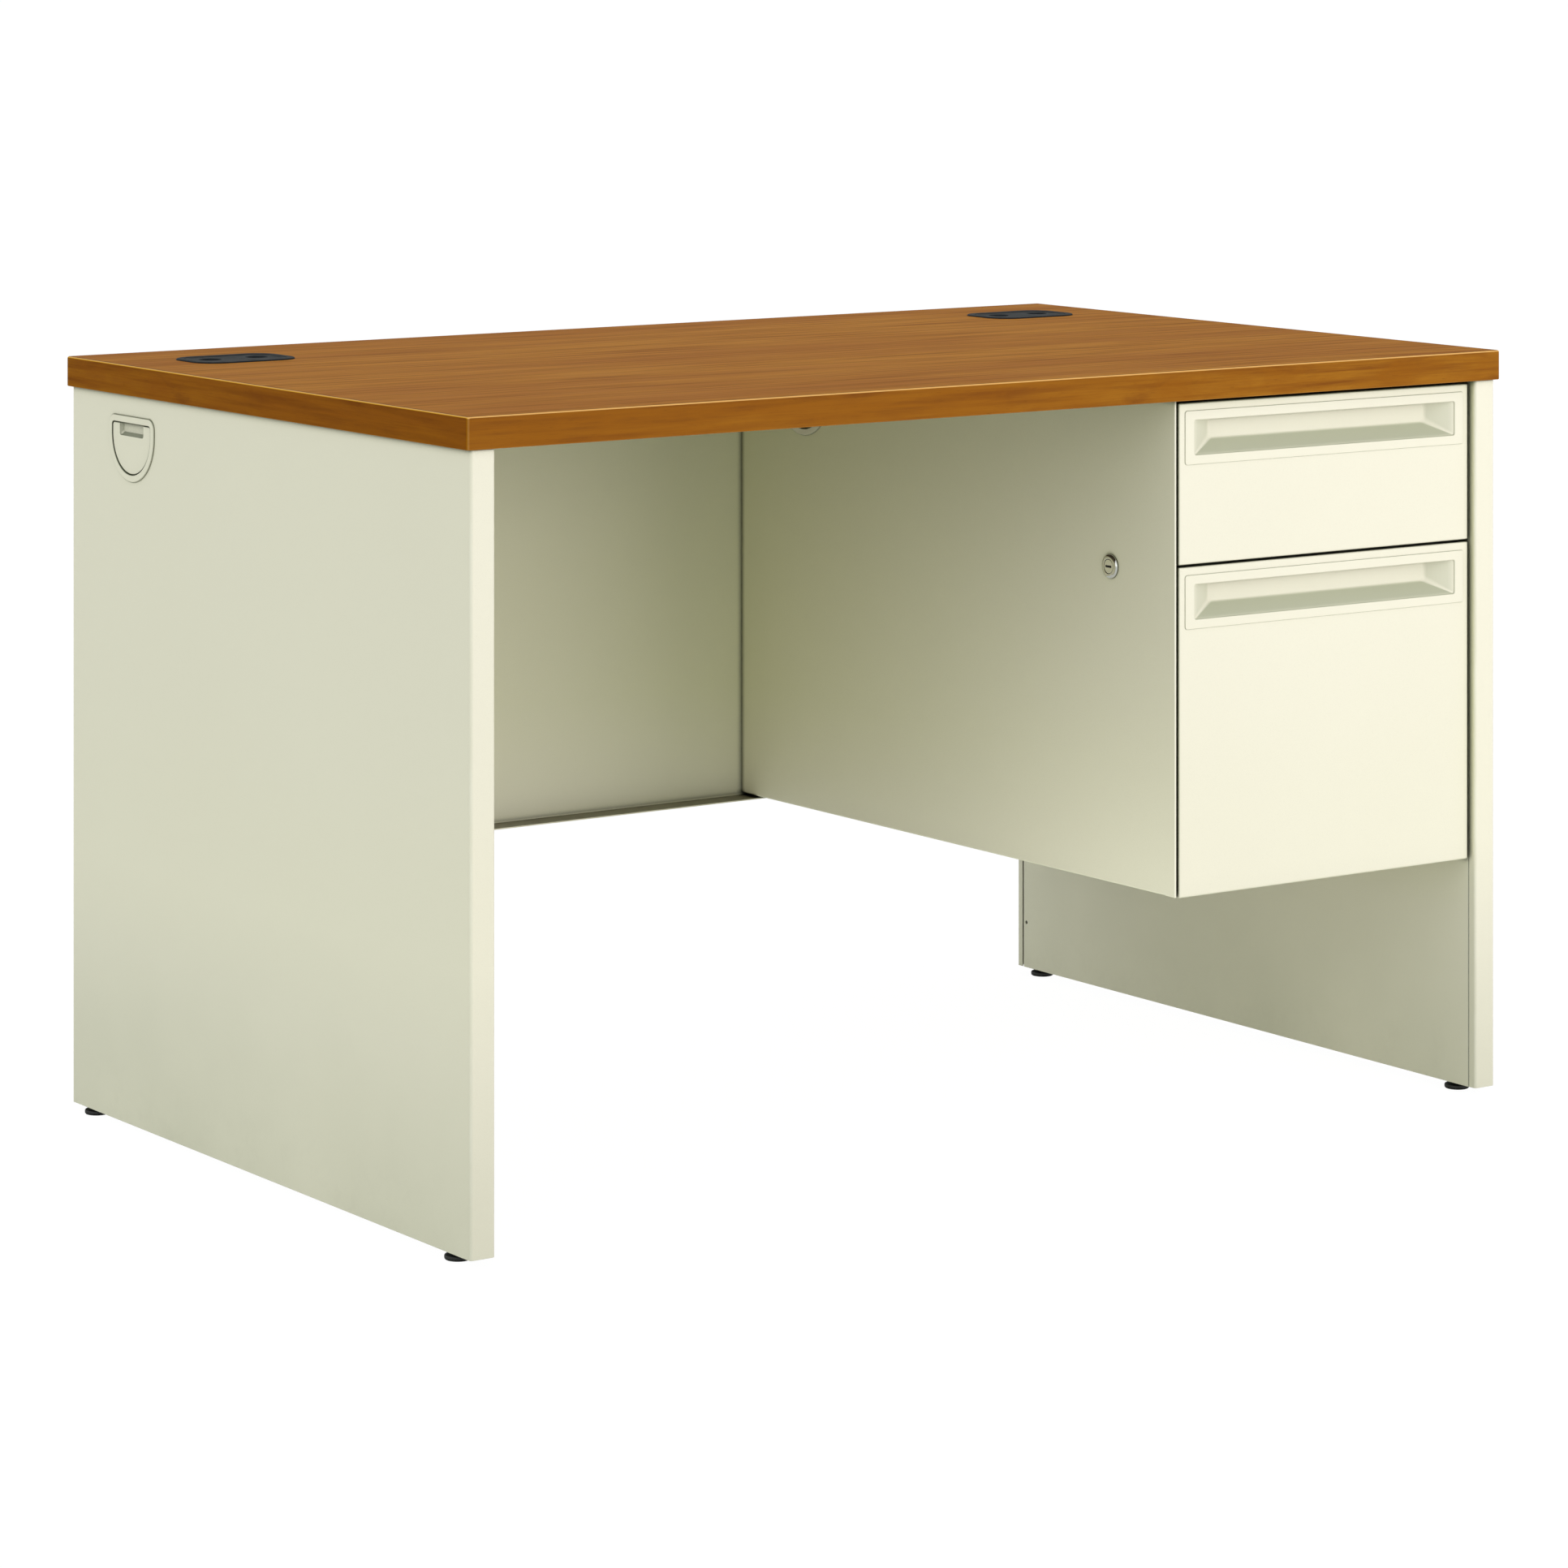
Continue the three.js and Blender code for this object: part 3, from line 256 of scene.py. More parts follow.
def moulded_putty(name, recess, ledge_shade):
    """Putty plastic with a fine spark-eroded skin. It has painted shade in recesses, on faces that turn
    upward and on the slanted ends of a scoop."""
    graph = material_graph(name)
    tone = graph.blend(graph.noise(6.0, 2.0), PUTTY_DARK, PUTTY_LIGHT)
    # Painted shade in small creases and in the given recess.
    tone = shade(graph, tone, 5.0, 0.05, 0.28, 0.72)
    tone = shade(graph, tone, *recess)
    # Painted shade on the slanted ends of a scoop and on faces that turn upward.
    facing = graph.facing()
    sideways = graph.math("ABSOLUTE", facing[0])
    slanted = graph.math("SUBTRACT", sideways, graph.spread(sideways, 0.0, 1.0, 0.85, 0.95))
    tone = graph.blend(graph.spread(slanted, 0.0, 0.34, 0.25, 0.45), tone, ledge_shade)
    tone = graph.blend(graph.spread(facing[2], 0.0, 0.75, 0.30, 0.70), tone, ledge_shade)
    skin = graph.bump(graph.noise(1900.0, 2.0, 0.6), 0.008)
    rough = graph.patches(60.0, 3.0, 0.44, 0.54)
    return graph.finish(tone, rough, skin, level=0.38)


WOOD_PALE = (0.400, 0.170, 0.0240, 1.0)
WOOD_MID = (0.330, 0.122, 0.0140, 1.0)
WOOD_RED = (0.240, 0.082, 0.0160, 1.0)
WOOD_PORE = (0.140, 0.045, 0.0090, 1.0)
# Colour of the painted highlight on the worktop's rounded edges.
WOOD_ARRIS_HIGHLIGHT = (0.90, 0.52, 0.17, 1.0)
# The top's print is about twice as bright as the edges': painted light on the top.
TOP_LIT_TINT = (1.74, 1.64, 0.84, 1.0)
BAND_TINT = (0.86, 0.79, 0.42, 1.0)
SIDE_SHADE_TINT = (0.87, 0.77, 0.13, 1.0)


def wood(graph, along, across, mottle, gloss, tint, side=None):
    """Printed wood grain. along and across are places along and across the grain, in metres, and side is 1
    on the worktop's left and right edges, which get painted shade."""

    def layer(length, width, detail, seed, distortion=0.0):
        """Noise in streaks of a typical length and width, in metres."""
        vector = graph.join(graph.math("DIVIDE", along, length), graph.math("DIVIDE", across, width), seed)
        return graph.noise(1.0, detail, 0.55, vector, distortion)

    bands = layer(0.85, 0.060, 3.0, 1.7, 0.35)
    streaks = layer(0.22, 0.0075, 4.0, 5.1, 0.20)
    fibres = layer(0.045, 0.0011, 3.0, 9.4)
    pores = layer(0.011, 0.00045, 1.0, 14.2)
    tone = graph.blend(graph.spread(bands, 0.0, 1.0, 0.40, 0.60), WOOD_MID, WOOD_PALE)
    red = graph.spread(streaks, 0.0, 1.0, 0.46, 0.66)
    tone = graph.blend(red, tone, WOOD_RED)
    cloud = graph.spread(layer(0.055, 0.026, 4.0, 21.3, 0.6), 0.0, mottle, 0.40, 0.70)
    tone = graph.blend(cloud, tone, WOOD_MID)
    dark = graph.spread(layer(0.10, 0.018, 3.0, 27.9, 0.8), 0.0, mottle, 0.55, 0.78)
    tone = graph.blend(dark, tone, WOOD_RED)
    tone = graph.blend(graph.spread(fibres, 0.0, 0.40, 0.45, 0.75), tone, WOOD_RED)
    flecks = graph.spread(pores, 0.0, 0.50, 0.66, 0.78)
    tone = graph.blend(flecks, tone, WOOD_PORE)
    tone = graph.filtered(tone, tint)
    upward = graph.facing()[2]
    # Painted highlight along the rounded edges, strongest on the upper ones.
    arris_highlight = graph.product(rounded_edge(graph), graph.spread(upward, 0.15, 0.9, 0.0, 0.3))
    tone = graph.blend(arris_highlight, tone, WOOD_ARRIS_HIGHLIGHT)
    # Painted shade on the worktop's left and right edges.
    if side is not None:
        tone = graph.blend(side, tone, graph.filtered(tone, SIDE_SHADE_TINT))
    ticks = graph.bump(flecks, 0.012, graph.bump(fibres, 0.010))
    skin = graph.bump(graph.noise(700.0, 2.0), 0.006, ticks)
    rough = graph.spread(streaks, gloss, gloss + 0.10, 0.3, 0.7)
    return graph.finish(tone, rough, skin, level=0.03)


def laminate():
    graph = material_graph("wood_laminate")
    x, y, _ = graph.split(graph.place)
    # The top's print brightened as painted light.
    return wood(graph, x, y, 0.25, 0.52, TOP_LIT_TINT)


def edge_banding():
    """The laminate's grain turned to run along each edge."""
    graph = material_graph("wood_edge_band")
    x, y, z = graph.split(graph.place)
    facing = graph.facing("True Normal")
    side = graph.math("GREATER_THAN", graph.math("ABSOLUTE", facing[0]), 0.72)
    top = graph.math("GREATER_THAN", graph.math("ABSOLUTE", facing[2]), 0.9)
    along = graph.node("Mix", {0: side, 2: x, 3: y}, data_type="FLOAT").outputs[0]
    across = graph.node("Mix", {0: top, 2: z, 3: y}, data_type="FLOAT").outputs[0]
    return wood(graph, along, across, 0.85, 0.48, BAND_TINT, side)


def moulded_dark(name, tone, grain, depth_mm, gloss, level):
    """Dark moulded plastic with a fine texture."""
    graph = material_graph(name)
    dark, pale, worn = (tuple(value * gain for value in tone) + (1.0,) for gain in (1.0, 1.5, 3.0))
    colour = graph.blend(graph.noise(18.0, 3.0), dark, pale)
    rubbed = graph.product(rounded_edge(graph), 0.30)
    colour = graph.blend(rubbed, colour, worn)
    # Painted shade in creases.
    colour = shade(graph, colour, 8.0, 0.1)
    skin = graph.bump(graph.noise(grain, 2.0, 0.6), depth_mm)
    rough = graph.patches(90.0, 3.0, gloss, gloss + 0.10)
    return graph.finish(colour, rough, skin, level=level)


def chrome_plate():
    graph = material_graph("polished_chrome")
    hairs = graph.noise(1.0, 2.0, 0.5, graph.stretched((900.0, 90.0, 2400.0)))
    tone = graph.blend(graph.noise(220.0, 2.0), (0.70, 0.70, 0.69, 1.0), (0.80, 0.80, 0.79, 1.0))
    # Painted shade in creases.
    tone = shade(graph, tone, 4.0, 0.03)
    rough = graph.spread(hairs, 0.07, 0.17, 0.35, 0.75)
    return graph.finish(tone, rough, graph.bump(hairs, 0.0015), metallic=1.0)


def zinc_plate():
    """Bright zinc on rolled steel, with lines drawn out along y."""
    graph = material_graph("zinc_steel")
    lines = graph.noise(1.0, 3.0, 0.6, graph.stretched((700.0, 14.0, 700.0)))
    bloom = graph.noise(70.0, 4.0, 0.65)
    tone = graph.blend(bloom, (0.47, 0.48, 0.49, 1.0), (0.66, 0.67, 0.67, 1.0))
    tone = graph.blend(graph.spread(lines, 0.0, 0.35, 0.4, 0.7), tone, (0.40, 0.41, 0.43, 1.0))
    rough = graph.spread(bloom, 0.26, 0.42, 0.3, 0.7)
    return graph.finish(tone, rough, graph.bump(lines, 0.006), metallic=1.0)


def particleboard():
    graph = material_graph("particleboard")
    chips = graph.node("TexVoronoi", {"Vector": graph.stretched((240.0, 300.0, 700.0))})
    tone = graph.blend(
        graph.split(chips.outputs["Color"])[0], linear(158, 122, 78), linear(206, 174, 124)
    )
    dust = graph.noise(1500.0, 2.0)
    tone = graph.blend(graph.spread(dust, 0.0, 0.5), tone, linear(132, 98, 60))
    rough = graph.spread(dust, 0.80, 0.95)
    relief = graph.bump(chips.outputs["Distance"], 0.25)
    return graph.finish(tone, rough, relief, level=0.2)


def backing_sheet():
    graph = material_graph("backing_sheet")
    fibres = graph.noise(1.0, 4.0, 0.6, graph.stretched((60.0, 900.0, 900.0)))
    tone = graph.blend(graph.spread(fibres, 0.0, 1.0, 0.3, 0.7), linear(62, 50, 36), linear(84, 68, 50))
    blots = graph.patches(9.0, 5.0, 0.0, 0.3, 0.45)
    tone = graph.blend(blots, tone, linear(54, 43, 31))
    rough = graph.spread(fibres, 0.62, 0.78)
    return graph.finish(tone, rough, graph.bump(fibres, 0.03), level=0.3)


GROMMET_TONE = (0.012, 0.014, 0.017)
GLIDE_TONE = (0.012, 0.012, 0.012)
TRAY_TONE = (0.026, 0.029, 0.032)

# A recess gets painted shade, given by reach in mm, the darkest share, and the openness where it starts
# and ends.
DOOR_RECESS = (14.0, 0.24, 0.55, 0.96)
SCOOP_RECESS = (30.0, 0.80, 0.45, 0.90)

MATERIALS = {
    "worktop_laminate": laminate(),
    "worktop_edge_band": edge_banding(),
    "worktop_core": particleboard(),
    "worktop_backing_sheet": backing_sheet(),
    "grommet_black": moulded_dark("grommet_black", GROMMET_TONE, 1500.0, 0.010, 0.50, 0.10),
    "putty_paint": powder_coat(),
    "putty_plastic": moulded_putty("putty_moulding", DOOR_RECESS, DOOR_SHADE),
    "drawer_pull_plastic": moulded_putty("pull_moulding", SCOOP_RECESS, SCOOP_SHADE),
    "glide_plastic": moulded_dark("glide_black", GLIDE_TONE, 900.0, 0.015, 0.45, 0.35),
    "lock_chrome": chrome_plate(),
    "zinc_steel": zinc_plate(),
    "tray_plastic": moulded_dark("tray_grey", TRAY_TONE, 700.0, 0.030, 0.48, 0.40),
}

# ---------- outlines


def arc(u, v, radius, start, end, steps=CORNER_STEPS):
    """Points on an arc, with its angles in degrees."""
    angles = [math.radians(start + (end - start) * step / steps) for step in range(steps + 1)]
    return [(u + radius * math.cos(a), v + radius * math.sin(a)) for a in angles]


def rounded_rectangle(low, high, radius, steps=CORNER_STEPS):
    (u0, v0), (u1, v1) = low, high
    corners = (
        (u1 - radius, v0 + radius, -90),
        (u1 - radius, v1 - radius, 0),
        (u0 + radius, v1 - radius, 90),
        (u0 + radius, v0 + radius, 180),
    )
    return [point for u, v, start in corners for point in arc(u, v, radius, start, start + 90, steps)]


def circle(u, v, radius, steps=48):
    return arc(u, v, radius, 0, 360 - 360 / steps, steps - 1)


def folded(path, bend, thickness=SHEET, steps=8):
    """Outline of a folded sheet. The path runs along one face, with the steel on its left, and
    every corner is bent to the given outer radius."""
    near, far = [], []

    def add(point, normal):
        near.append(tuple(point))
        far.append(tuple(point + thickness * normal))

    def left_of(start, end):
        along = (end - start).normalized()
        return Vector((-along.y, along.x))

    points = [Vector(point) for point in path]
    add(points[0], left_of(points[0], points[1]))
    for before_point, point, after_point in zip(points, points[1:], points[2:]):
        before = left_of(before_point, point)
        after = left_of(point, after_point)
        side = 1 if before.x * after.y - before.y * after.x > 0 else -1
        radius = bend if side > 0 else bend - thickness
        centre = point + (before + after) * (side * radius / (1 + before.dot(after)))
        for step in range(steps + 1):
            normal = before.lerp(after, step / steps).normalized()
            add(centre - side * radius * normal, normal)
    add(points[-1], left_of(points[-2], points[-1]))
    return near + far[::-1]


def channel(web, lip, low, high):
    """The path of a folded channel that opens from its web towards its lips."""
    path = [(lip, high), (web, high), (web, low), (lip, low)]
    return path if lip > web else path[::-1]


def on(axis, value, outline):
    """An outline set in the plane where that axis has that value."""
    if axis == "x":
        return [(value, u, v) for u, v in outline]
    if axis == "y":
        return [(u, value, v) for u, v in outline]
    return [(u, v, value) for u, v in outline]


# ---------- solids

CREASE = 32  # degrees: a sharper edge stays sharp, or is rounded where its piece has a bevel


def loft(rings, closed=False):
    """A closed surface through rings of (x, y, z), capped at both ends or joined end to end."""
    mesh = bmesh.new()
    rows = [[mesh.verts.new(Vector(point) * MM) for point in ring] for ring in rings]
    pairs = list(zip(rows, rows[1:]))
    if closed:
        pairs.append((rows[-1], rows[0]))
    else:
        mesh.faces.new(rows[0][::-1])
        mesh.faces.new(rows[-1])
    for near, far in pairs:
        for i in range(len(near)):
            j = (i + 1) % len(near)
            mesh.faces.new((near[i], near[j], far[j], far[i]))
    bmesh.ops.recalc_face_normals(mesh, faces=mesh.faces)
    return mesh


def frame_rings(axis, profile, low, high, corner, least=0.0, steps=CORNER_STEPS):
    """Rounded rectangles in from a box's sides, from (inset, place along the axis) pairs. Their
    corners shrink as the inset grows, down to the least radius."""
    u, v = (i for i, name in enumerate("xyz") if name != axis)
    rings = []
    for inset, place in profile:
        near = (low[u] + inset, low[v] + inset)
        far = (high[u] - inset, high[v] - inset)
        radius = max(corner - inset, least)
        rings.append(on(axis, place, rounded_rectangle(near, far, radius, steps)))
    return rings


def prism(axis, outline, low, high):
    return loft([on(axis, low, outline), on(axis, high, outline)])


def punch(outline, x):
    """The tool that cuts an outline through the sheet at that x."""
    return prism("x", outline, x - OVERRUN, x + OVERRUN)


def block(low, high):
    (x0, y0, z0), (x1, y1, z1) = low, high
    return prism("z", [(x0, y0), (x1, y0), (x1, y1), (x0, y1)], z0, z1)


def turned(axis, centre, profile, steps=48, closed=False):
    """A turned solid from (radius, place along the axis) pairs, with flat caps unless it's closed."""
    u, v = centre
    return loft([on(axis, place, circle(u, v, radius, steps)) for radius, place in profile], closed)


def stored(name, mesh):
    """The mesh as Blender's own data. The mesh is used up."""
    data = bpy.data.meshes.new(name)
    mesh.to_mesh(data)
    mesh.free()
    return data


def placed(name, data):
    made = bpy.data.objects.new(name, data)
    SCENE.collection.objects.link(made)
    return made


def combined(first, second, operation="DIFFERENCE"):
    """The first mesh less the second, or joined to it. Both are used up."""
    objects = [placed("tool", stored("tool", mesh)) for mesh in (first, second)]
    cut = objects[0].modifiers.new("cut", "BOOLEAN")
    cut.object = objects[1]
    cut.operation = operation
    cut.solver = "EXACT"
    bpy.context.view_layer.update()
    result = bmesh.new()
    result.from_object(objects[0], bpy.context.evaluated_depsgraph_get())
    for tool in objects:
        data = tool.data
        bpy.data.objects.remove(tool)
        bpy.data.meshes.remove(data)
    bmesh.ops.remove_doubles(result, verts=result.verts, dist=0.002 * MM)
    return result


def merged(*meshes):
    """Separate closed shells in one mesh."""
    whole = meshes[0]
    for mesh in meshes[1:]:
        data = stored("shell", mesh)
        whole.from_mesh(data)
        bpy.data.meshes.remove(data)
    return whole


def piece(name, mesh, body, slot, *nodes, bevel=0.0):
    """A finished piece that stands for CAD nodes and moves with their body."""
    data = stored(name, mesh)
    data.polygons.foreach_set("use_smooth", [True] * len(data.polygons))
    data.set_sharp_from_angle(angle=math.radians(CREASE))
    data.materials.append(MATERIALS[slot])
    made = placed(name, data)
    if bevel:
        soften(made, bevel)
    made.modifiers.new("normals", "WEIGHTED_NORMAL").keep_sharp = True
    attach(made, body)
    if nodes:
        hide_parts(*nodes)
    return made


def soften(made, width_mm):
    """Rounds the edges that are sharper than the crease angle."""
    edge = made.modifiers.new("edges", "BEVEL")
    edge.width = width_mm * MM
    edge.segments = 2
    edge.limit_method = "ANGLE"
    edge.angle_limit = math.radians(CREASE)
    edge.harden_normals = True
    edge.use_clamp_overlap = True


def keep(node, slot, bevel):
    """A CAD node that stays, with its triangles merged, its edges softened and its own material."""
    made = frame["nodes"][node]
    weld = made.modifiers.new("weld", "WELD")
    weld.merge_threshold = 0.005 * MM
    flat = made.modifiers.new("flats", "DECIMATE")
    flat.decimate_type = "DISSOLVE"
    flat.angle_limit = math.radians(1.0)
    soften(made, bevel)
    made.modifiers.new("normals", "WEIGHTED_NORMAL").keep_sharp = True
    made.material_slots[0].material = MATERIALS[slot]


def box_mm(node):
    low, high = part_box(node)
    return tuple(value / MM for value in low), tuple(value / MM for value in high)


def middle(low, high):
    return tuple((a + b) / 2 for a, b in zip(low, high))


# ---------- worktop

BAND = 3.0  # edge band's thickness
BAND_CORNER = 3.4
TOP_ARRIS = 2.0
LOW_ARRIS = 1.2

TOP_LOW, TOP_HIGH = box_mm("worktop_edge_band")


def edge_band():
    low, high = TOP_LOW[2], TOP_HIGH[2]
    upper = arc(TOP_ARRIS, high - TOP_ARRIS, TOP_ARRIS, 90, 180)
    lower = arc(LOW_ARRIS, low + LOW_ARRIS, LOW_ARRIS, 180, 270)
    profile = [(BAND, high), *upper, *lower, (BAND, low)]
    return loft(frame_rings("z", profile, TOP_LOW, TOP_HIGH, BAND_CORNER), closed=True)


GROMMET_FLANGE = 8.1  # width of the sleeve's visible flange
GROMMET_TUBE = 6.3  # from the flange's edge to the tube
FLANGE_SUNK = 1.0  # the flange's underside below the worktop
GROMMET_CORNER = 26.0
FLANGE_ROUND = 1.25  # radius of the flange's outer edge
MOUTH_ROUND = 0.7  # and of its inner edge
CAP_ROUND = 0.6
CAP_BORDER = (3.0, 4.2)  # from the cap's edge to where its raised border starts to fall, and ends
CAP_DISH = 0.5  # how far the cap's middle lies below its border
PORT_RADIUS = 11.0
PORT_ROUND = 1.0
PORT_FLARE = 1.3
PORT_X = 26.0  # each side of the grommet's centre
PORT_Y = 4.0  # behind the grommet's centre


def grommet_rings(side, profile):
    """Rings inset from the sleeve's outline, from (inset, z) pairs."""
    return frame_rings("z", profile, *box_mm(f"grommet_sleeve_{side}"), GROMMET_CORNER, steps=12)


def grommet_sleeve(side):
    low, high = (corner[2] for corner in box_mm(f"grommet_sleeve_{side}"))
    seat = TOP_HIGH[2] - FLANGE_SUNK
    profile = [(0, seat), *arc(FLANGE_ROUND, high - FLANGE_ROUND, FLANGE_ROUND, 180, 90)]
    profile += arc(GROMMET_FLANGE - MOUTH_ROUND, high - MOUTH_ROUND, MOUTH_ROUND, 90, 0, 4)
    profile += [(GROMMET_FLANGE, low), (GROMMET_TUBE, low), (GROMMET_TUBE, seat)]
    return loft(grommet_rings(side, profile), closed=True)


def grommet_cap(side):
    low, high = box_mm(f"grommet_cap_{side}")
    sleeve_low, sleeve_high = box_mm(f"grommet_sleeve_{side}")
    x, y, _ = middle(sleeve_low, sleeve_high)
    edge = (sleeve_high[0] - sleeve_low[0]) / 2 - (high[0] - low[0]) / 2
    top = high[2]
    floor = top - CAP_DISH
    profile = [(edge, low[2]), *arc(edge + CAP_ROUND, top - CAP_ROUND, CAP_ROUND, 180, 90, 4)]
    profile += [(edge + CAP_BORDER[0], top), (edge + CAP_BORDER[1], floor)]
    cap = loft(grommet_rings(side, profile))
    for side_x in (-PORT_X, PORT_X):
        mouth = arc(PORT_RADIUS + PORT_ROUND, floor - PORT_ROUND, PORT_ROUND, 180, 90, 5)
        cutter = [(PORT_RADIUS, low[2] - OVERRUN), *mouth[:-1]]
        cutter.append((PORT_RADIUS + PORT_FLARE, floor + OVERRUN))
        cap = combined(cap, turned("z", (x + side_x, y + PORT_Y), cutter))
    return cap


def laminate_sheet():
    low, high = box_mm("worktop_laminate")
    sheet = block(low, high)
    for side in SIDES:
        ends = [(-HOLE_PLAY, low[2] - OVERRUN), (-HOLE_PLAY, high[2] + OVERRUN)]
        sheet = combined(sheet, loft(grommet_rings(side, ends)))
    return sheet


piece("worktop_edge_banding", edge_band(), "desk", "worktop_edge_band", "worktop_edge_band")
piece("worktop_laminate_sheet", laminate_sheet(), "desk", "worktop_laminate", "worktop_laminate")
keep("worktop_core", "worktop_core", 0.2)
keep("worktop_backing_sheet", "worktop_backing_sheet", 0.1)
for side in SIDES:
    sleeve = f"grommet_sleeve_{side}"
    piece(f"{sleeve}_moulding", grommet_sleeve(side), "desk", "grommet_black", sleeve)
    cap = f"grommet_cap_{side}"
    piece(f"{cap}_moulding", grommet_cap(side), cap, "grommet_black", cap)

# ---------- end panels

LIP = 9.2  # the outer skin's return on the inner face
SEAM = 1.3  # groove between the return and the inner skin
END_BEND = 3.0
INNER_BEND = 1.5  # the inner skin's bends
INNER_FLANGE = 8.0
SCREW_HOLE = (361.3, 58.4, 2.0)  # y, z and radius

RIM = 7.0  # the cable opening's rim
RIM_RISE = 1.5
CABLE_WALL = 1.6
CABLE_CORNER = 4.0
CABLE_LEAST_CORNER = 0.4
RIM_EDGES = (0.8, 1.4)  # radii of the rim's inner and outer edges

RIM_LOW, RIM_HIGH = box_mm("cable_bezel_right")
CABLE_RADIUS = (RIM_HIGH[1] - RIM_LOW[1]) / 2 - RIM
CABLE_Y = middle(RIM_LOW, RIM_HIGH)[1]
CABLE_TOP = RIM_HIGH[2] - RIM
CABLE_ARC_Z = RIM_LOW[2] + RIM + CABLE_RADIUS


def dee(margin):
    """The cable openings' outline in (y, z), flat edge up, grown by a margin all round."""
    radius = CABLE_RADIUS + margin
    corner = max(CABLE_CORNER + margin, CABLE_LEAST_CORNER)
    top = CABLE_TOP + margin - corner
    return [
        *arc(CABLE_Y, CABLE_ARC_Z, radius, 180, 360, 40),
        *arc(CABLE_Y + radius - corner, top, corner, 0, 90),
        *arc(CABLE_Y - radius + corner, top, corner, 90, 180),
    ]


def dee_loft(profile, origin, sign, closed=True):
    """Rings of (margin, distance out from a face). sign is +1 where out is +X."""
    return loft([on("x", origin + sign * out, dee(margin)) for margin, out in profile], closed)


def rim_profile(back):
    """A raised rim with soft edges round a tube that ends at the given depth."""
    near, far = RIM_EDGES
    inner = arc(near, RIM_RISE - near, near, 180, 90, 5)
    outer = arc(RIM - far, RIM_RISE - far, far, 90, 0, 6)
    return [(0, back), *inner, *outer, (CABLE_WALL, HAIRLINE), (CABLE_WALL, back)]


def end_skin(path, bend, low, high, face_x):
    skin = prism("z", folded(path, bend), low, high)
    return combined(skin, punch(dee(CABLE_WALL + HOLE_PLAY), face_x))


def end_panel(side):
    sign = 1 if side == "right" else -1
    low, high = box_mm(f"{side}_end_outer_skin")
    outer, inner = (high[0], low[0]) if sign > 0 else (low[0], high[0])
    y = high[1]
    path = [(inner, -y + LIP), (inner, -y), (outer, -y), (outer, y), (inner, y), (inner, y - LIP)]
    flange_y = y - LIP - SEAM
    inner_path = channel(inner, inner + sign * INNER_FLANGE, -flange_y, flange_y)
    if sign < 0:
        path.reverse()
    node = f"{side}_end_outer_skin"
    skin = end_skin(path, END_BEND, low[2], high[2], outer)
    piece(f"{node}_sheet", skin, "desk", "putty_paint", node, bevel=0.3)
    hole_y, hole_z, hole_radius = SCREW_HOLE
    hole = punch(circle(hole_y, hole_z, hole_radius, 24), inner)
    node = f"{side}_end_inner_skin"
    skin = combined(end_skin(inner_path, INNER_BEND, low[2], high[2], inner), hole)
    piece(f"{node}_sheet", skin, "desk", "putty_paint", node, bevel=0.3)
    for end in ("top", "bottom"):
        keep(f"{side}_end_{end}_channel", "zinc_steel", 0.3)
    cable_outlet(side, sign, outer)


POCKET = (24.0, 11.0)  # half width and height of the door's finger pocket
POCKET_DROP = 1.6
PIN_RADIUS = 1.3
PIN_DROP = 5.0
PIN_REACH = 0.9
SOCKET = 0.4  # the pin's clearance
DOOR_THICKNESS = 3.6
DOOR_PROUD = 0.6
DOOR_GAP = 0.9
DOOR_ROUND = 0.7
POCKET_FLOOR = 1.1  # the pocket's floor in front of the door's back
POCKET_TAPER = 3.2  # how much the pocket narrows on each side to its floor
POCKET_CORNER = 2.5
POCKET_FLARE = 0.3


def hinge_bar(x, reach, radius):
    return prism("y", circle(x, CABLE_TOP - PIN_DROP, radius, 20), CABLE_Y - reach, CABLE_Y + reach)


def finger_pocket(outer, sign):
    """The tool that cuts a door's pocket, open through the door's top edge."""
    top = CABLE_TOP - POCKET_DROP
    rings = []
    profile = [(POCKET_FLOOR - DOOR_THICKNESS, -POCKET_TAPER), (0.0, 0.0)]
    profile += [(DOOR_PROUD, POCKET_FLARE), (DOOR_PROUD + 1, POCKET_FLARE)]
    for out, grow in profile:
        near = (CABLE_Y - POCKET[0] - grow, top - POCKET[1] - grow)
        far = (CABLE_Y + POCKET[0] + grow, top + OVERRUN)
        rings.append(on("x", outer + sign * out, rounded_rectangle(near, far, POCKET_CORNER)))
    return loft(rings)


def cable_outlet(side, sign, outer):
    axis_x = outer - sign * DOOR_THICKNESS / 2
    low, high = box_mm(f"cable_bezel_{side}")
    bezel = dee_loft(rim_profile(-(high[0] - low[0] - RIM_RISE)), outer, sign)
    sockets = hinge_bar(axis_x, CABLE_RADIUS + PIN_REACH + SOCKET, PIN_RADIUS + SOCKET)
    bezel = combined(bezel, sockets)
    piece(f"cable_bezel_{side}_moulding", bezel, "desk", "putty_plastic", f"cable_bezel_{side}")
    edge = arc(-DOOR_GAP - DOOR_ROUND, DOOR_PROUD - DOOR_ROUND, DOOR_ROUND, 0, 90, 4)
    door = dee_loft([(-DOOR_GAP, -DOOR_THICKNESS), *edge], outer, sign, closed=False)
    door = combined(door, hinge_bar(axis_x, CABLE_RADIUS + PIN_REACH, PIN_RADIUS), "UNION")
    door = combined(door, finger_pocket(outer, sign))
    name = f"cable_door_{side}"
    piece(f"{name}_moulding", door, name, "putty_plastic", name, bevel=0.25)


for side in SIDES:
    end_panel(side)

# ---------- glides

STUD_RADIUS = 4.0
THREAD_START = 7.6
THREAD_END = 1.0  # below the stud's top
THREAD_PITCH = 1.25
THREAD_DEPTH = 0.45
# The foot, as insets from its edge with heights, and the collar, as widths round the stud.
FOOT = ((2.0, 0.0), (0.9, 0.25), (0.2, 1.0), (0, 2.0), (0, 3.4), (0.4, 4.2), (1.4, 4.8), (4.4, 5.5))
COLLAR = ((2.2, 6.2), (1.5, 7.0), (0.9, 7.3))


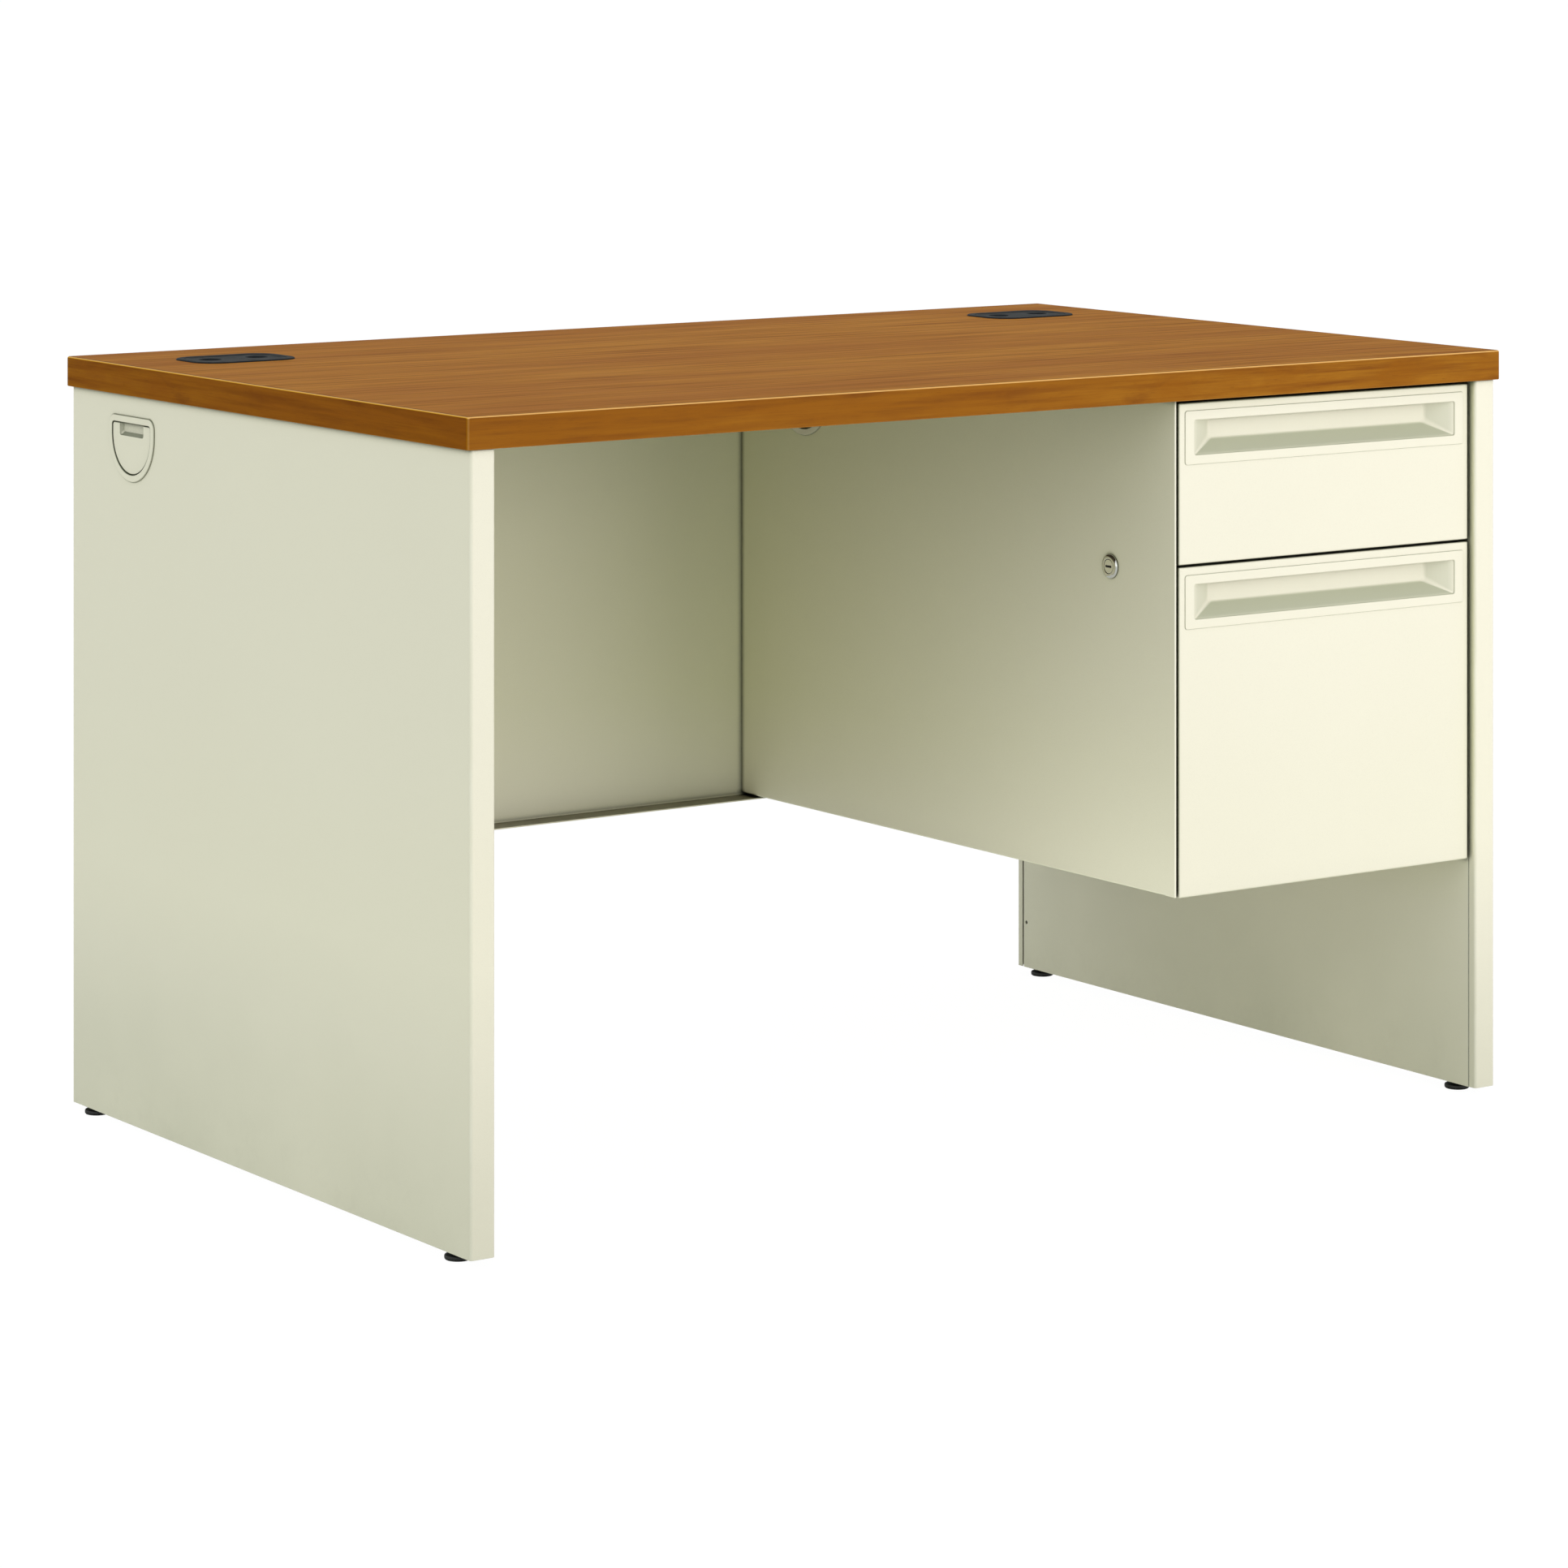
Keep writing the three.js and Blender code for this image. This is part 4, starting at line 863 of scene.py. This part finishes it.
def glide(side, end):
    name = f"levelling_glide_{side}_{end}"
    low, high = box_mm(name)
    centre = middle(low, high)[:2]
    radius = (high[0] - low[0]) / 2
    foot = [(radius - inset, z) for inset, z in FOOT]
    foot += [(STUD_RADIUS + collar, z) for collar, z in COLLAR]
    body = f"glide_{side}_{end}"
    piece(f"{name}_foot", turned("z", centre, foot, 64), body, "glide_plastic", name)
    stud = [(STUD_RADIUS - 0.6, 7.0)]
    z = THREAD_START
    while z + THREAD_PITCH < high[2] - THREAD_END:
        stud += [(STUD_RADIUS - THREAD_DEPTH, z), (STUD_RADIUS, z + THREAD_PITCH / 2)]
        z += THREAD_PITCH
    stud += [(STUD_RADIUS - THREAD_DEPTH, z), (STUD_RADIUS - 1.2, high[2])]
    piece(f"{name}_stud", turned("z", centre, stud, 32), body, "zinc_steel")


for side in SIDES:
    for end in ("front", "rear"):
        glide(side, end)

# ---------- modesty panel

MODESTY_TOP_FLANGE = 14.0
MODESTY_BEND = 3.0

PED_LOW, PED_HIGH = box_mm("pedestal_left_side")


def modesty_panel():
    low, high = box_mm("modesty_panel")
    face = high[1] - SHEET
    top = high[2] - SHEET
    flange = low[2] + SHEET
    path = [(face - MODESTY_TOP_FLANGE, top), (face, top), (face, flange), (low[1], flange)]
    sheet = prism("x", folded(path, MODESTY_BEND), low[0], high[0])
    notch = block(
        (PED_LOW[0] - 1, face - MODESTY_TOP_FLANGE - OVERRUN, top - MODESTY_BEND),
        (high[0] + OVERRUN, face, high[2] + OVERRUN),
    )
    return combined(sheet, notch)


piece("modesty_panel_sheet", modesty_panel(), "desk", "putty_paint", "modesty_panel", bevel=0.3)

# ---------- pedestal

PED_FLANGE = 14.0
PED_BEND = 2.0
HEM_DEPTH = 14.0
RELIEF_PAST_RAIL = 3.0  # the flanges are cut away in front, to behind the top rail's face
BARREL_RADIUS = 9.0
RING_DEPTH = SHEET + 6.0  # of the cable opening's ring, behind the side's face
GUIDE_OFFSET = 9.0  # lock bar guides, each side of the bar's centre line
GUIDE_ABOVE_END = 70.0  # height of the lower pair above the bar's end
GUIDE_BELOW_TOP = 60.0
GUIDE_HALF = (1.5, 6.0)  # half width and half height
GUIDE_REACH = 4.4

LOCK_LOW, LOCK_HIGH = box_mm("lock_housing")
_, LOCK_Y, LOCK_Z = middle(LOCK_LOW, LOCK_HIGH)


def pedestal_channel(node, face_x, sign, front):
    """A side whose flanges turn towards +X where sign is +1."""
    low, high = box_mm(node)
    tip = face_x + sign * PED_FLANGE
    side = prism("y", folded(channel(face_x, tip, low[2], high[2]), PED_BEND), front, high[1])
    rail_y = box_mm("pedestal_top_rail")[0][1]
    near, far = sorted((face_x + sign * SHEET, tip + sign * OVERRUN))
    relief = block(
        (near, low[1] - OVERRUN, low[2] - OVERRUN),
        (far, rail_y + RELIEF_PAST_RAIL, high[2] + OVERRUN),
    )
    side = combined(side, relief)
    return combined(side, punch(dee(CABLE_WALL + HOLE_PLAY), face_x))


def pedestal_left_side():
    """Its front edge is a round hem, and two pairs of guides hold the lock bar upright."""
    x, front, bottom = PED_LOW
    top = PED_HIGH[2]
    side = pedestal_channel("pedestal_left_side", x, 1, front + SHEET)
    hem = arc(x + SHEET, front + SHEET, SHEET, 180, 360, 12)
    hem += [(x + 2 * SHEET, front + HEM_DEPTH), (x, front + HEM_DEPTH)]
    side = combined(side, prism("z", hem, bottom + HAIRLINE, top - HAIRLINE), "UNION")
    bar_low, bar_high = box_mm("lock_bar")
    bar_y = middle(bar_low, bar_high)[1]
    wide, tall = GUIDE_HALF
    for z in (bar_low[2] + GUIDE_ABOVE_END, bar_high[2] - GUIDE_BELOW_TOP):
        for y in (bar_y - GUIDE_OFFSET, bar_y + GUIDE_OFFSET):
            near = (x + SHEET / 2, y - wide, z - tall)
            guide = block(near, (x + GUIDE_REACH, y + wide, z + tall))
            side = combined(side, guide, "UNION")
    return combined(side, punch(circle(LOCK_Y, LOCK_Z, BARREL_RADIUS + HOLE_PLAY), x))


def pedestal_right_side():
    low, high = box_mm("pedestal_right_side")
    return pedestal_channel("pedestal_right_side", high[0], -1, low[1])


for side, sheet in (("left", pedestal_left_side()), ("right", pedestal_right_side())):
    node = f"pedestal_{side}_side"
    piece(f"pedestal_{side}_sheet", sheet, "desk", "putty_paint", node, bevel=0.25)
ring = dee_loft(rim_profile(-RING_DEPTH), PED_LOW[0], -1)
piece("pedestal_cable_ring_moulding", ring, "desk", "putty_plastic", "pedestal_cable_ring")
for node in ("pedestal_back", "pedestal_bottom", "pedestal_top_rail", "pedestal_mid_rail"):
    keep(node, "putty_paint", 0.25)

# ---------- drawer slides

SLIDE_SHEET = 1.3
SLIDE_BEND = 2.4
BALL_RADIUS = 1.55
BALL_PLAY = 0.05
BALL_PITCH = 22.0
BALL_COUNT = 7
CAGE_START = 20.0  # the cage's front end behind the middle member's
CAGE_END = 10.0  # the cage's length past its first and last balls
CAGE_HALF = 2.2
CAGE_SHEET = 0.5


def slide_member(node, opens):
    """A channel that opens towards +X where opens is +1, with its outer corners rolled."""
    low, high = box_mm(node)
    web, lip = (low[0], high[0]) if opens > 0 else (high[0], low[0])
    path = channel(web, lip, low[2], high[2])
    return prism("y", folded(path, SLIDE_BEND, SLIDE_SHEET), low[1], high[1])


def drawer_slides(drawer):
    """The left fixed member, with the pads that hold it off the pedestal, stays as its CAD node."""
    bodies = {"fixed": "desk", "middle": f"{drawer}_slide_middles", "inner": f"{drawer}_drawer"}
    for side in SIDES:
        sign = 1 if side == "right" else -1
        for member, body in bodies.items():
            node = f"{drawer}_slide_{side}_{member}"
            if member == "fixed" and side == "left":
                keep(node, "zinc_steel", 0.25)
                continue
            made = slide_member(node, sign if member == "inner" else -sign)
            piece(f"{node}_rail", made, body, "zinc_steel", node, bevel=0.25)
        ball_cage(drawer, side)


def ball_cage(drawer, side):
    """Steel balls between the middle and inner members, which ride with the middle one."""
    middle_low, middle_high = box_mm(f"{drawer}_slide_{side}_middle")
    inner_low, inner_high = box_mm(f"{drawer}_slide_{side}_inner")
    x = (max(middle_low[0], inner_low[0]) + min(middle_high[0], inner_high[0])) / 2
    shells = []
    for level in (1, -1):
        outer = middle_high[2] - SLIDE_SHEET if level > 0 else middle_low[2] + SLIDE_SHEET
        inner = inner_high[2] if level > 0 else inner_low[2]
        z = (outer + inner) / 2
        radius = min(BALL_RADIUS, abs(outer - inner) / 2 - BALL_PLAY)
        for index in range(BALL_COUNT):
            y = middle_low[1] + CAGE_START + CAGE_END + index * BALL_PITCH
            shells.append(ball((x, y, z), radius))
        start = middle_low[1] + CAGE_START
        length = 2 * CAGE_END + (BALL_COUNT - 1) * BALL_PITCH
        strip = rounded_rectangle((x - CAGE_HALF, start), (x + CAGE_HALF, start + length), 1.2, 3)
        shells.append(prism("z", strip, z - CAGE_SHEET / 2, z + CAGE_SHEET / 2))
    piece(f"{drawer}_slide_{side}_balls", merged(*shells), f"{drawer}_slide_middles", "zinc_steel")


def ball(centre, radius):
    mesh = bmesh.new()
    place = Matrix.Translation(Vector(centre) * MM)
    bmesh.ops.create_icosphere(mesh, subdivisions=2, radius=radius * MM, matrix=place)
    return mesh


for drawer in DRAWERS:
    drawer_slides(drawer)

# ---------- drawer fronts and pulls

FRONT_BEND = 2.0
FRONT_CORNER = 1.4
PAN_CORNER = 0.4  # inside the pan's walls
BEND_CORNER = 0.3  # the least corner along the pan's bends
OPENING_CORNER = 3.0
FRAME_X = 12.0  # the pull's frame at the sides of its scoop
FRAME_Z = 9.4  # and above and below it
SCOOP_DEPTH = 14.5
SCOOP_SIDE_SLOPE = 28.0
SCOOP_FLOOR_SLOPE = 13.6
SCOOP_WALL = 1.5
SCOOP_FILLET = 1.5
SCOOP_PLAY = 1.0  # between the scoop's shell and the sheet's opening
MOUTH_CORNER = 1.7  # the scoop's corner radius at its mouth
DEEP_CORNER = 6.5  # and at its back
LIP_RADIUS = 1.3
PLATE_CORNER = 2.6
PLATE_ROUND = 0.6


def drawer_front(drawer):
    """A hollow pan of folded sheet, open behind, with an opening for the pull's scoop."""
    low, high = box_mm(f"{drawer}_drawer_front")
    pull_low, pull_high = box_mm(f"{drawer}_drawer_pull")
    face, back = low[1], high[1]
    play = SCOOP_WALL + SCOOP_PLAY
    near = (pull_low[0] + FRAME_X - play, pull_low[2] + FRAME_Z - play)
    far = (pull_high[0] - FRAME_X + play, pull_high[2] - FRAME_Z + play)
    opening = rounded_rectangle(near, far, OPENING_CORNER)
    outside = [*arc(FRONT_BEND, face + FRONT_BEND, FRONT_BEND, 270, 180), (0, back)]
    inside = arc(FRONT_BEND, face + FRONT_BEND, FRONT_BEND - SHEET, 180, 270)
    rings = [on("y", face, opening)]
    rings += frame_rings("y", outside, low, high, FRONT_CORNER, BEND_CORNER)
    rings += frame_rings("y", [(SHEET, back)], low, high, 0, PAN_CORNER)
    rings += frame_rings("y", inside, low, high, 0, BEND_CORNER)
    rings.append(on("y", face + SHEET, opening))
    return loft(rings, closed=True)


def drawer_pull(drawer):
    """A plate with a slanted scoop, and the scoop's shell behind it."""
    low, high = box_mm(f"{drawer}_drawer_pull")
    face = box_mm(f"{drawer}_drawer_front")[0][1]
    front = low[1]
    centre_x, _, centre_z = middle(low, high)
    half_x = (high[0] - low[0]) / 2 - FRAME_X
    half_z = (high[2] - low[2]) / 2 - FRAME_Z

    def scoop(depth, grow):
        share = max(depth, 0) / SCOOP_DEPTH
        radius = max(MOUTH_CORNER + (DEEP_CORNER - MOUTH_CORNER) * share + grow, 0.8)
        x = half_x - SCOOP_SIDE_SLOPE * share + grow
        near = (centre_x - x, centre_z - half_z + SCOOP_FLOOR_SLOPE * share - grow)
        far = (centre_x + x, centre_z + half_z + grow)
        return on("y", face + depth, rounded_rectangle(near, far, radius))

    def wall(depth, grow):
        """From the back of the scoop out to its mouth."""
        rings = []
        for grown, behind in arc(-SCOOP_FILLET, depth - SCOOP_FILLET, SCOOP_FILLET, 90, 0, 6):
            rings.append(scoop(behind, grow + grown))
        for share in (0.75, 0.5, 0.25, 0.1):
            rings.append(scoop((depth - SCOOP_FILLET) * share, grow))
        return rings

    rings = wall(SCOOP_DEPTH, 0.0)
    for grown, y in arc(LIP_RADIUS, front + LIP_RADIUS, LIP_RADIUS, 180, 270, 5):
        rings.append([(u, y, v) for u, _, v in scoop(0, grown)])
    plate = [*arc(PLATE_ROUND, front + PLATE_ROUND, PLATE_ROUND, 270, 180, 4), (0, face - HAIRLINE)]
    rings += frame_rings("y", plate, low, high, PLATE_CORNER)
    rings.append(scoop(-HAIRLINE, SCOOP_WALL))
    rings += reversed(wall(SCOOP_DEPTH + SCOOP_WALL, SCOOP_WALL))
    return loft(rings)


for drawer in DRAWERS:
    body = f"{drawer}_drawer"
    piece(f"{body}_front_pan", drawer_front(drawer), body, "putty_paint", f"{body}_front")
    piece(f"{body}_pull_moulding", drawer_pull(drawer), body, "drawer_pull_plastic", f"{body}_pull")

# ---------- drawer bodies

BODY_SHEET = 1.0
BODY_CORNER = 2.5
BODY_LEAST_CORNER = 0.5
CATCH = (8.0, 2.0, 16.0)  # the lock catch's reach, thickness and height
CATCH_BEHIND = 4.0  # the catch behind the lock bar's front edge
CATCH_BELOW = (50.0, 11.0)  # the box drawer's below the bar's top, the file drawer's below its end
SLIDE_PLAY = 0.3  # between a slide and the tray
HEM = (2.4, 4.6)  # width and height of the rolled edge on the drawers' sides
HEM_INSET = 4.0  # from the tray's front and back


def drawer_body(drawer):
    """An open steel tray with rolled side edges and the lock's catch."""
    node = f"{drawer}_drawer_body"
    low, high = box_mm(node)
    left = box_mm(f"{drawer}_slide_left_inner")[1][0] + SLIDE_PLAY
    low = (left, low[1], low[2])
    bend_z = low[2] + BODY_CORNER
    profile = arc(BODY_CORNER, bend_z, BODY_CORNER, 270, 180, 4)
    profile += [(0, high[2]), (BODY_SHEET, high[2])]
    profile += arc(BODY_CORNER, bend_z, BODY_CORNER - BODY_SHEET, 180, 270, 4)
    tray = loft(frame_rings("z", profile, low, high, BODY_CORNER, BODY_LEAST_CORNER, 4))
    radius, drop = HEM[0] / 2, HEM[1]
    for x in (low[0] + radius, high[0] - radius):
        roll = arc(x, high[2] - radius, radius, 0, 180, 8)
        roll += [(x - radius, high[2] - drop), (x + radius, high[2] - drop)]
        tray = combined(tray, prism("y", roll, low[1] + HEM_INSET, high[1] - HEM_INSET), "UNION")
    return combined(tray, block(*catch_box(drawer, left)), "UNION")


def catch_box(drawer, left):
    """The catch behind the lock bar's lug, below it while unlocked."""
    bar_low, bar_high = box_mm("lock_bar")
    near = bar_low[1] + CATCH_BEHIND
    z = {"box": bar_high[2] - CATCH_BELOW[0], "file": bar_low[2] - CATCH_BELOW[1]}[drawer]
    reach, thickness, height = CATCH
    return (left - reach, near, z), (left + BODY_SHEET / 2, near + thickness, z + height)


for drawer in DRAWERS:
    body = f"{drawer}_drawer"
    piece(f"{body}_tray", drawer_body(drawer), body, "putty_paint", f"{body}_body", bevel=0.2)
keep("box_drawer_pencil_tray", "tray_plastic", 0.6)
keep("box_drawer_divider", "zinc_steel", 0.3)
for side in SIDES:
    keep(f"file_drawer_rail_{side}", "zinc_steel", 0.4)

# ---------- lock

PLUG_RADIUS = 7.0
NECK_RADIUS = 3.0
BORE_PLAY = 0.2
LOCK_LAND = 0.6  # width of the flat round the bore
LOCK_WALL = 0.8  # the cup's straight wall below its shoulder
NECK_REACH = 2.4  # how far the neck may run past the cam's near face
PLUG_DROP = 0.2  # the plug's face below the housing's
KEY_SLOT = (4.6, 1.05)  # half width and half height
KEY_CORNER = 0.5
KEY_DEPTH = 7.0
SHADE_BLOCK_DROP = 0.7
SHADE_BLOCK_DEPTH = 5.0


def lock_housing():
    """A chrome cup with a rounded shoulder, and the barrel through the side."""
    out, back = LOCK_LOW[0], LOCK_HIGH[0]
    face = PED_LOW[0] - HAIRLINE
    radius = (LOCK_HIGH[1] - LOCK_LOW[1]) / 2
    bore = PLUG_RADIUS + BORE_PLAY
    shoulder = radius - bore - LOCK_LAND
    rise = face - LOCK_WALL - out
    quarter = arc(0, 0, 1, 0, 90, 9)
    profile = [(radius, face)]
    profile += [(radius - shoulder + shoulder * u, out + rise * (1 - v)) for u, v in quarter]
    profile += [(bore + 0.15, out + 0.15), (bore, out + 0.5)]
    profile += [(bore, back), (BARREL_RADIUS, back), (BARREL_RADIUS, face)]
    return turned("x", (LOCK_Y, LOCK_Z), profile, 64, closed=True)


def lock_plug():
    """The turning plug, with its keyway and the neck that carries the cam."""
    out = LOCK_LOW[0] + PLUG_DROP
    back = LOCK_HIGH[0]
    neck_end = min(box_mm("lock_plug")[1][0], box_mm("lock_cam")[0][0] + NECK_REACH)
    profile = [(PLUG_RADIUS - 0.5, out), (PLUG_RADIUS - 0.12, out + 0.15), (PLUG_RADIUS, out + 0.5)]
    profile += [(PLUG_RADIUS, back), (NECK_RADIUS, back), (NECK_RADIUS, neck_end)]
    plug = turned("x", (LOCK_Y, LOCK_Z), profile, 64)
    slot = rounded_rectangle(*keyway(0.0), KEY_CORNER, 4)
    return combined(plug, prism("x", slot, out - OVERRUN, out + KEY_DEPTH))


def keyway(grow):
    """The keyway's low and high corners in (y, z)."""
    half_y, half_z = (half + grow for half in KEY_SLOT)
    return (LOCK_Y - half_y, LOCK_Z - half_z), (LOCK_Y + half_y, LOCK_Z + half_z)


def keyway_shade_block():
    """A block in the keyway, where a lock's wafers sit. It is black as painted shade deep in the slot."""
    out = LOCK_LOW[0] + SHADE_BLOCK_DROP
    near, far = keyway(HAIRLINE)
    return block((out, *near), (out + SHADE_BLOCK_DEPTH, *far))


piece("lock_housing_cup", lock_housing(), "desk", "lock_chrome", "lock_housing")
piece("lock_plug_face", lock_plug(), "lock_plug_and_cam", "lock_chrome", "lock_plug", bevel=0.12)
# A black block in the keyway: painted shade for the slot's depth.
piece("lock_keyway_shade_block", keyway_shade_block(), "lock_plug_and_cam", "glide_plastic")
keep("lock_nut", "zinc_steel", 0.2)
keep("lock_cam", "zinc_steel", 0.2)
keep("lock_bar", "zinc_steel", 0.15)

# ---------- stage, light and camera

FLOOR_SIZE = 400.0
FLOOR_ALBEDO = 0.84
# Painted light: the floor's faint glow, which lights the desk from below.
FLOOR_GLOW = 0.14
FLOOR_WHITE = 1.06
FLOOR_WHITE_SHARE = 0.9
STUDIO_TINT = (0.965, 1.0, 0.970, 1.0)
SKY = {  # the sky's strength in each direction
    (0, -1, 0): 1.07,
    (0, 1, 0): 0.80,
    (-1, 0, 0): 1.66,
    (1, 0, 0): 0.55,
    (0, 0, 1): 0.12,
}
SOFTBOX_PLACE = (2.3, -4.9, 1.15)
SOFTBOX_AIM = (0.0, 0.0, 0.50)
SOFTBOX_SIZE = (3.4, 1.6)
SOFTBOX_WATTS = 118.0
SOFTBOX_TINT = (1.0, 0.955, 0.995)
FILL_PLACE = (-0.12, -0.36, 0.06)
FILL_AIM = (0.197, -0.28, 0.25)
FILL_SIZE = (0.35, 0.12)
FILL_WATTS = 0.56
GLIDES = [f"glide_{side}_{end}" for side in SIDES for end in ("front", "rear")]


def make_floor():
    """A pale floor that the camera sees as nearly white, and that glows faintly to light the desk from
    below. It sinks as the glides wind out.
    """
    graph = material_graph("studio_floor")
    level = graph.spread(graph.noise(3.0, 3.0), FLOOR_ALBEDO - 0.01, FLOOR_ALBEDO + 0.01)
    tone = graph.filtered(graph.join(level, level, level), STUDIO_TINT)
    shaded = graph.node("BsdfDiffuse", {0: tone})
    glow = graph.node("Emission", {0: (1, 1, 1, 1), 1: FLOOR_GLOW})
    lit = graph.node("AddShader", {0: shaded.outputs[0], 1: glow.outputs[0]})
    white = graph.node("Emission", {0: (1, 1, 1, 1), 1: FLOOR_WHITE})
    seen = graph.product(graph.seen(), FLOOR_WHITE_SHARE)
    mixed = graph.node("MixShader", {0: seen, 1: lit.outputs[0], 2: white.outputs[0]})
    graph.node("OutputMaterial", {0: mixed.outputs[0]})
    mesh = bmesh.new()
    bmesh.ops.create_grid(mesh, x_segments=1, y_segments=1, size=FLOOR_SIZE / 2)
    data = stored("studio_floor", mesh)
    data.materials.append(graph.owner)
    floor = placed("studio_floor", data)
    heights = [(frame["bodies"][name], "location[2]") for name in GLIDES]
    drive(floor, "location", heights, "min(a, b, c, d)", 2)


def drive(target, path, sources, expression, index=-1):
    """Sets a value from other objects' own values, named a, b, c... in the expression."""
    curve = target.driver_add(path, index)
    curve.driver.type = "SCRIPTED"
    for letter, (source, source_path) in zip("abcdef", sources):
        variable = curve.driver.variables.new()
        variable.name = letter
        variable.type = "SINGLE_PROP"
        variable.targets[0].id = source
        variable.targets[0].data_path = source_path
    curve.driver.expression = expression


def make_world():
    """White to the camera. To the object, a soft studio that is brightest in front."""
    world = bpy.data.worlds.new("studio")
    SCENE.world = world
    graph = Graph(world, "Generated")
    total = 0.0
    for axis, strength in SKY.items():
        product = graph.node("VectorMath", {0: graph.place, 1: axis}, operation="DOT_PRODUCT")
        facing = graph.math("MAXIMUM", product.outputs["Value"], 0.0)
        share = graph.product(graph.product(facing, facing), strength)
        total = graph.math("ADD", share, total)
    soft = graph.node("Background", {0: STUDIO_TINT, 1: total})
    white = graph.node("Background", {0: (1, 1, 1, 1), 1: 1.0})
    mixed = graph.node("MixShader", {0: graph.seen(), 1: soft.outputs[0], 2: white.outputs[0]})
    graph.node("OutputWorld", {0: mixed.outputs[0]})


def soft_light(name, place, aim, size, watts, tint):
    """A rectangular light that the camera doesn't see."""
    data = bpy.data.lights.new(name, "AREA")
    data.shape = "RECTANGLE"
    data.size, data.size_y = size
    data.energy = watts
    data.color = tint
    light = placed(name, data)
    light.location = place
    light.rotation_euler = (Vector(aim) - Vector(place)).to_track_quat("-Z", "Y").to_euler()
    light.visible_camera = False
    return light


def make_lights():
    """One large soft light in front, above the worktop's height, and a weak low one that only
    reaches the knee side of the pedestal."""
    soft_light("softbox", SOFTBOX_PLACE, SOFTBOX_AIM, SOFTBOX_SIZE, SOFTBOX_WATTS, SOFTBOX_TINT)
    tint = STUDIO_TINT[:3]
    fill = soft_light("fill", FILL_PLACE, FILL_AIM, FILL_SIZE, FILL_WATTS, tint)
    lit = bpy.data.collections.new("lit_by_fill")
    lit.objects.link(bpy.data.objects["pedestal_left_sheet"])
    fill.light_linking.receiver_collection = lit


CAMERA_PLACE = (-3.0271, -4.3243, 1.1976)
CAMERA_TURN = 34.8385  # degrees
CAMERA_LENS = 121.04
CAMERA_SHIFT = (0.0064, -0.5604)


def make_camera():
    """A level camera whose frame is shifted down, which keeps upright edges parallel. The shift
    holds only at the camera's own place, so that other views are centred."""
    data = bpy.data.cameras.new("camera")
    data.lens = CAMERA_LENS
    data.sensor_width = 36.0
    data.clip_start = 0.1
    data.clip_end = 1000.0
    camera = placed("camera", data)
    camera.location = CAMERA_PLACE
    camera.rotation_euler = (math.radians(90), 0, math.radians(-CAMERA_TURN))
    SCENE.camera = camera
    for path, shift in zip(("shift_x", "shift_y"), CAMERA_SHIFT):
        rule = f"{shift} if abs(a - {CAMERA_PLACE[0]}) < 0.001 else 0"
        drive(data, path, [(camera, "location[0]")], rule)


make_floor()
make_world()
make_lights()
make_camera()
SCENE.view_settings.view_transform = "Standard"
SCENE.view_settings.look = "None"
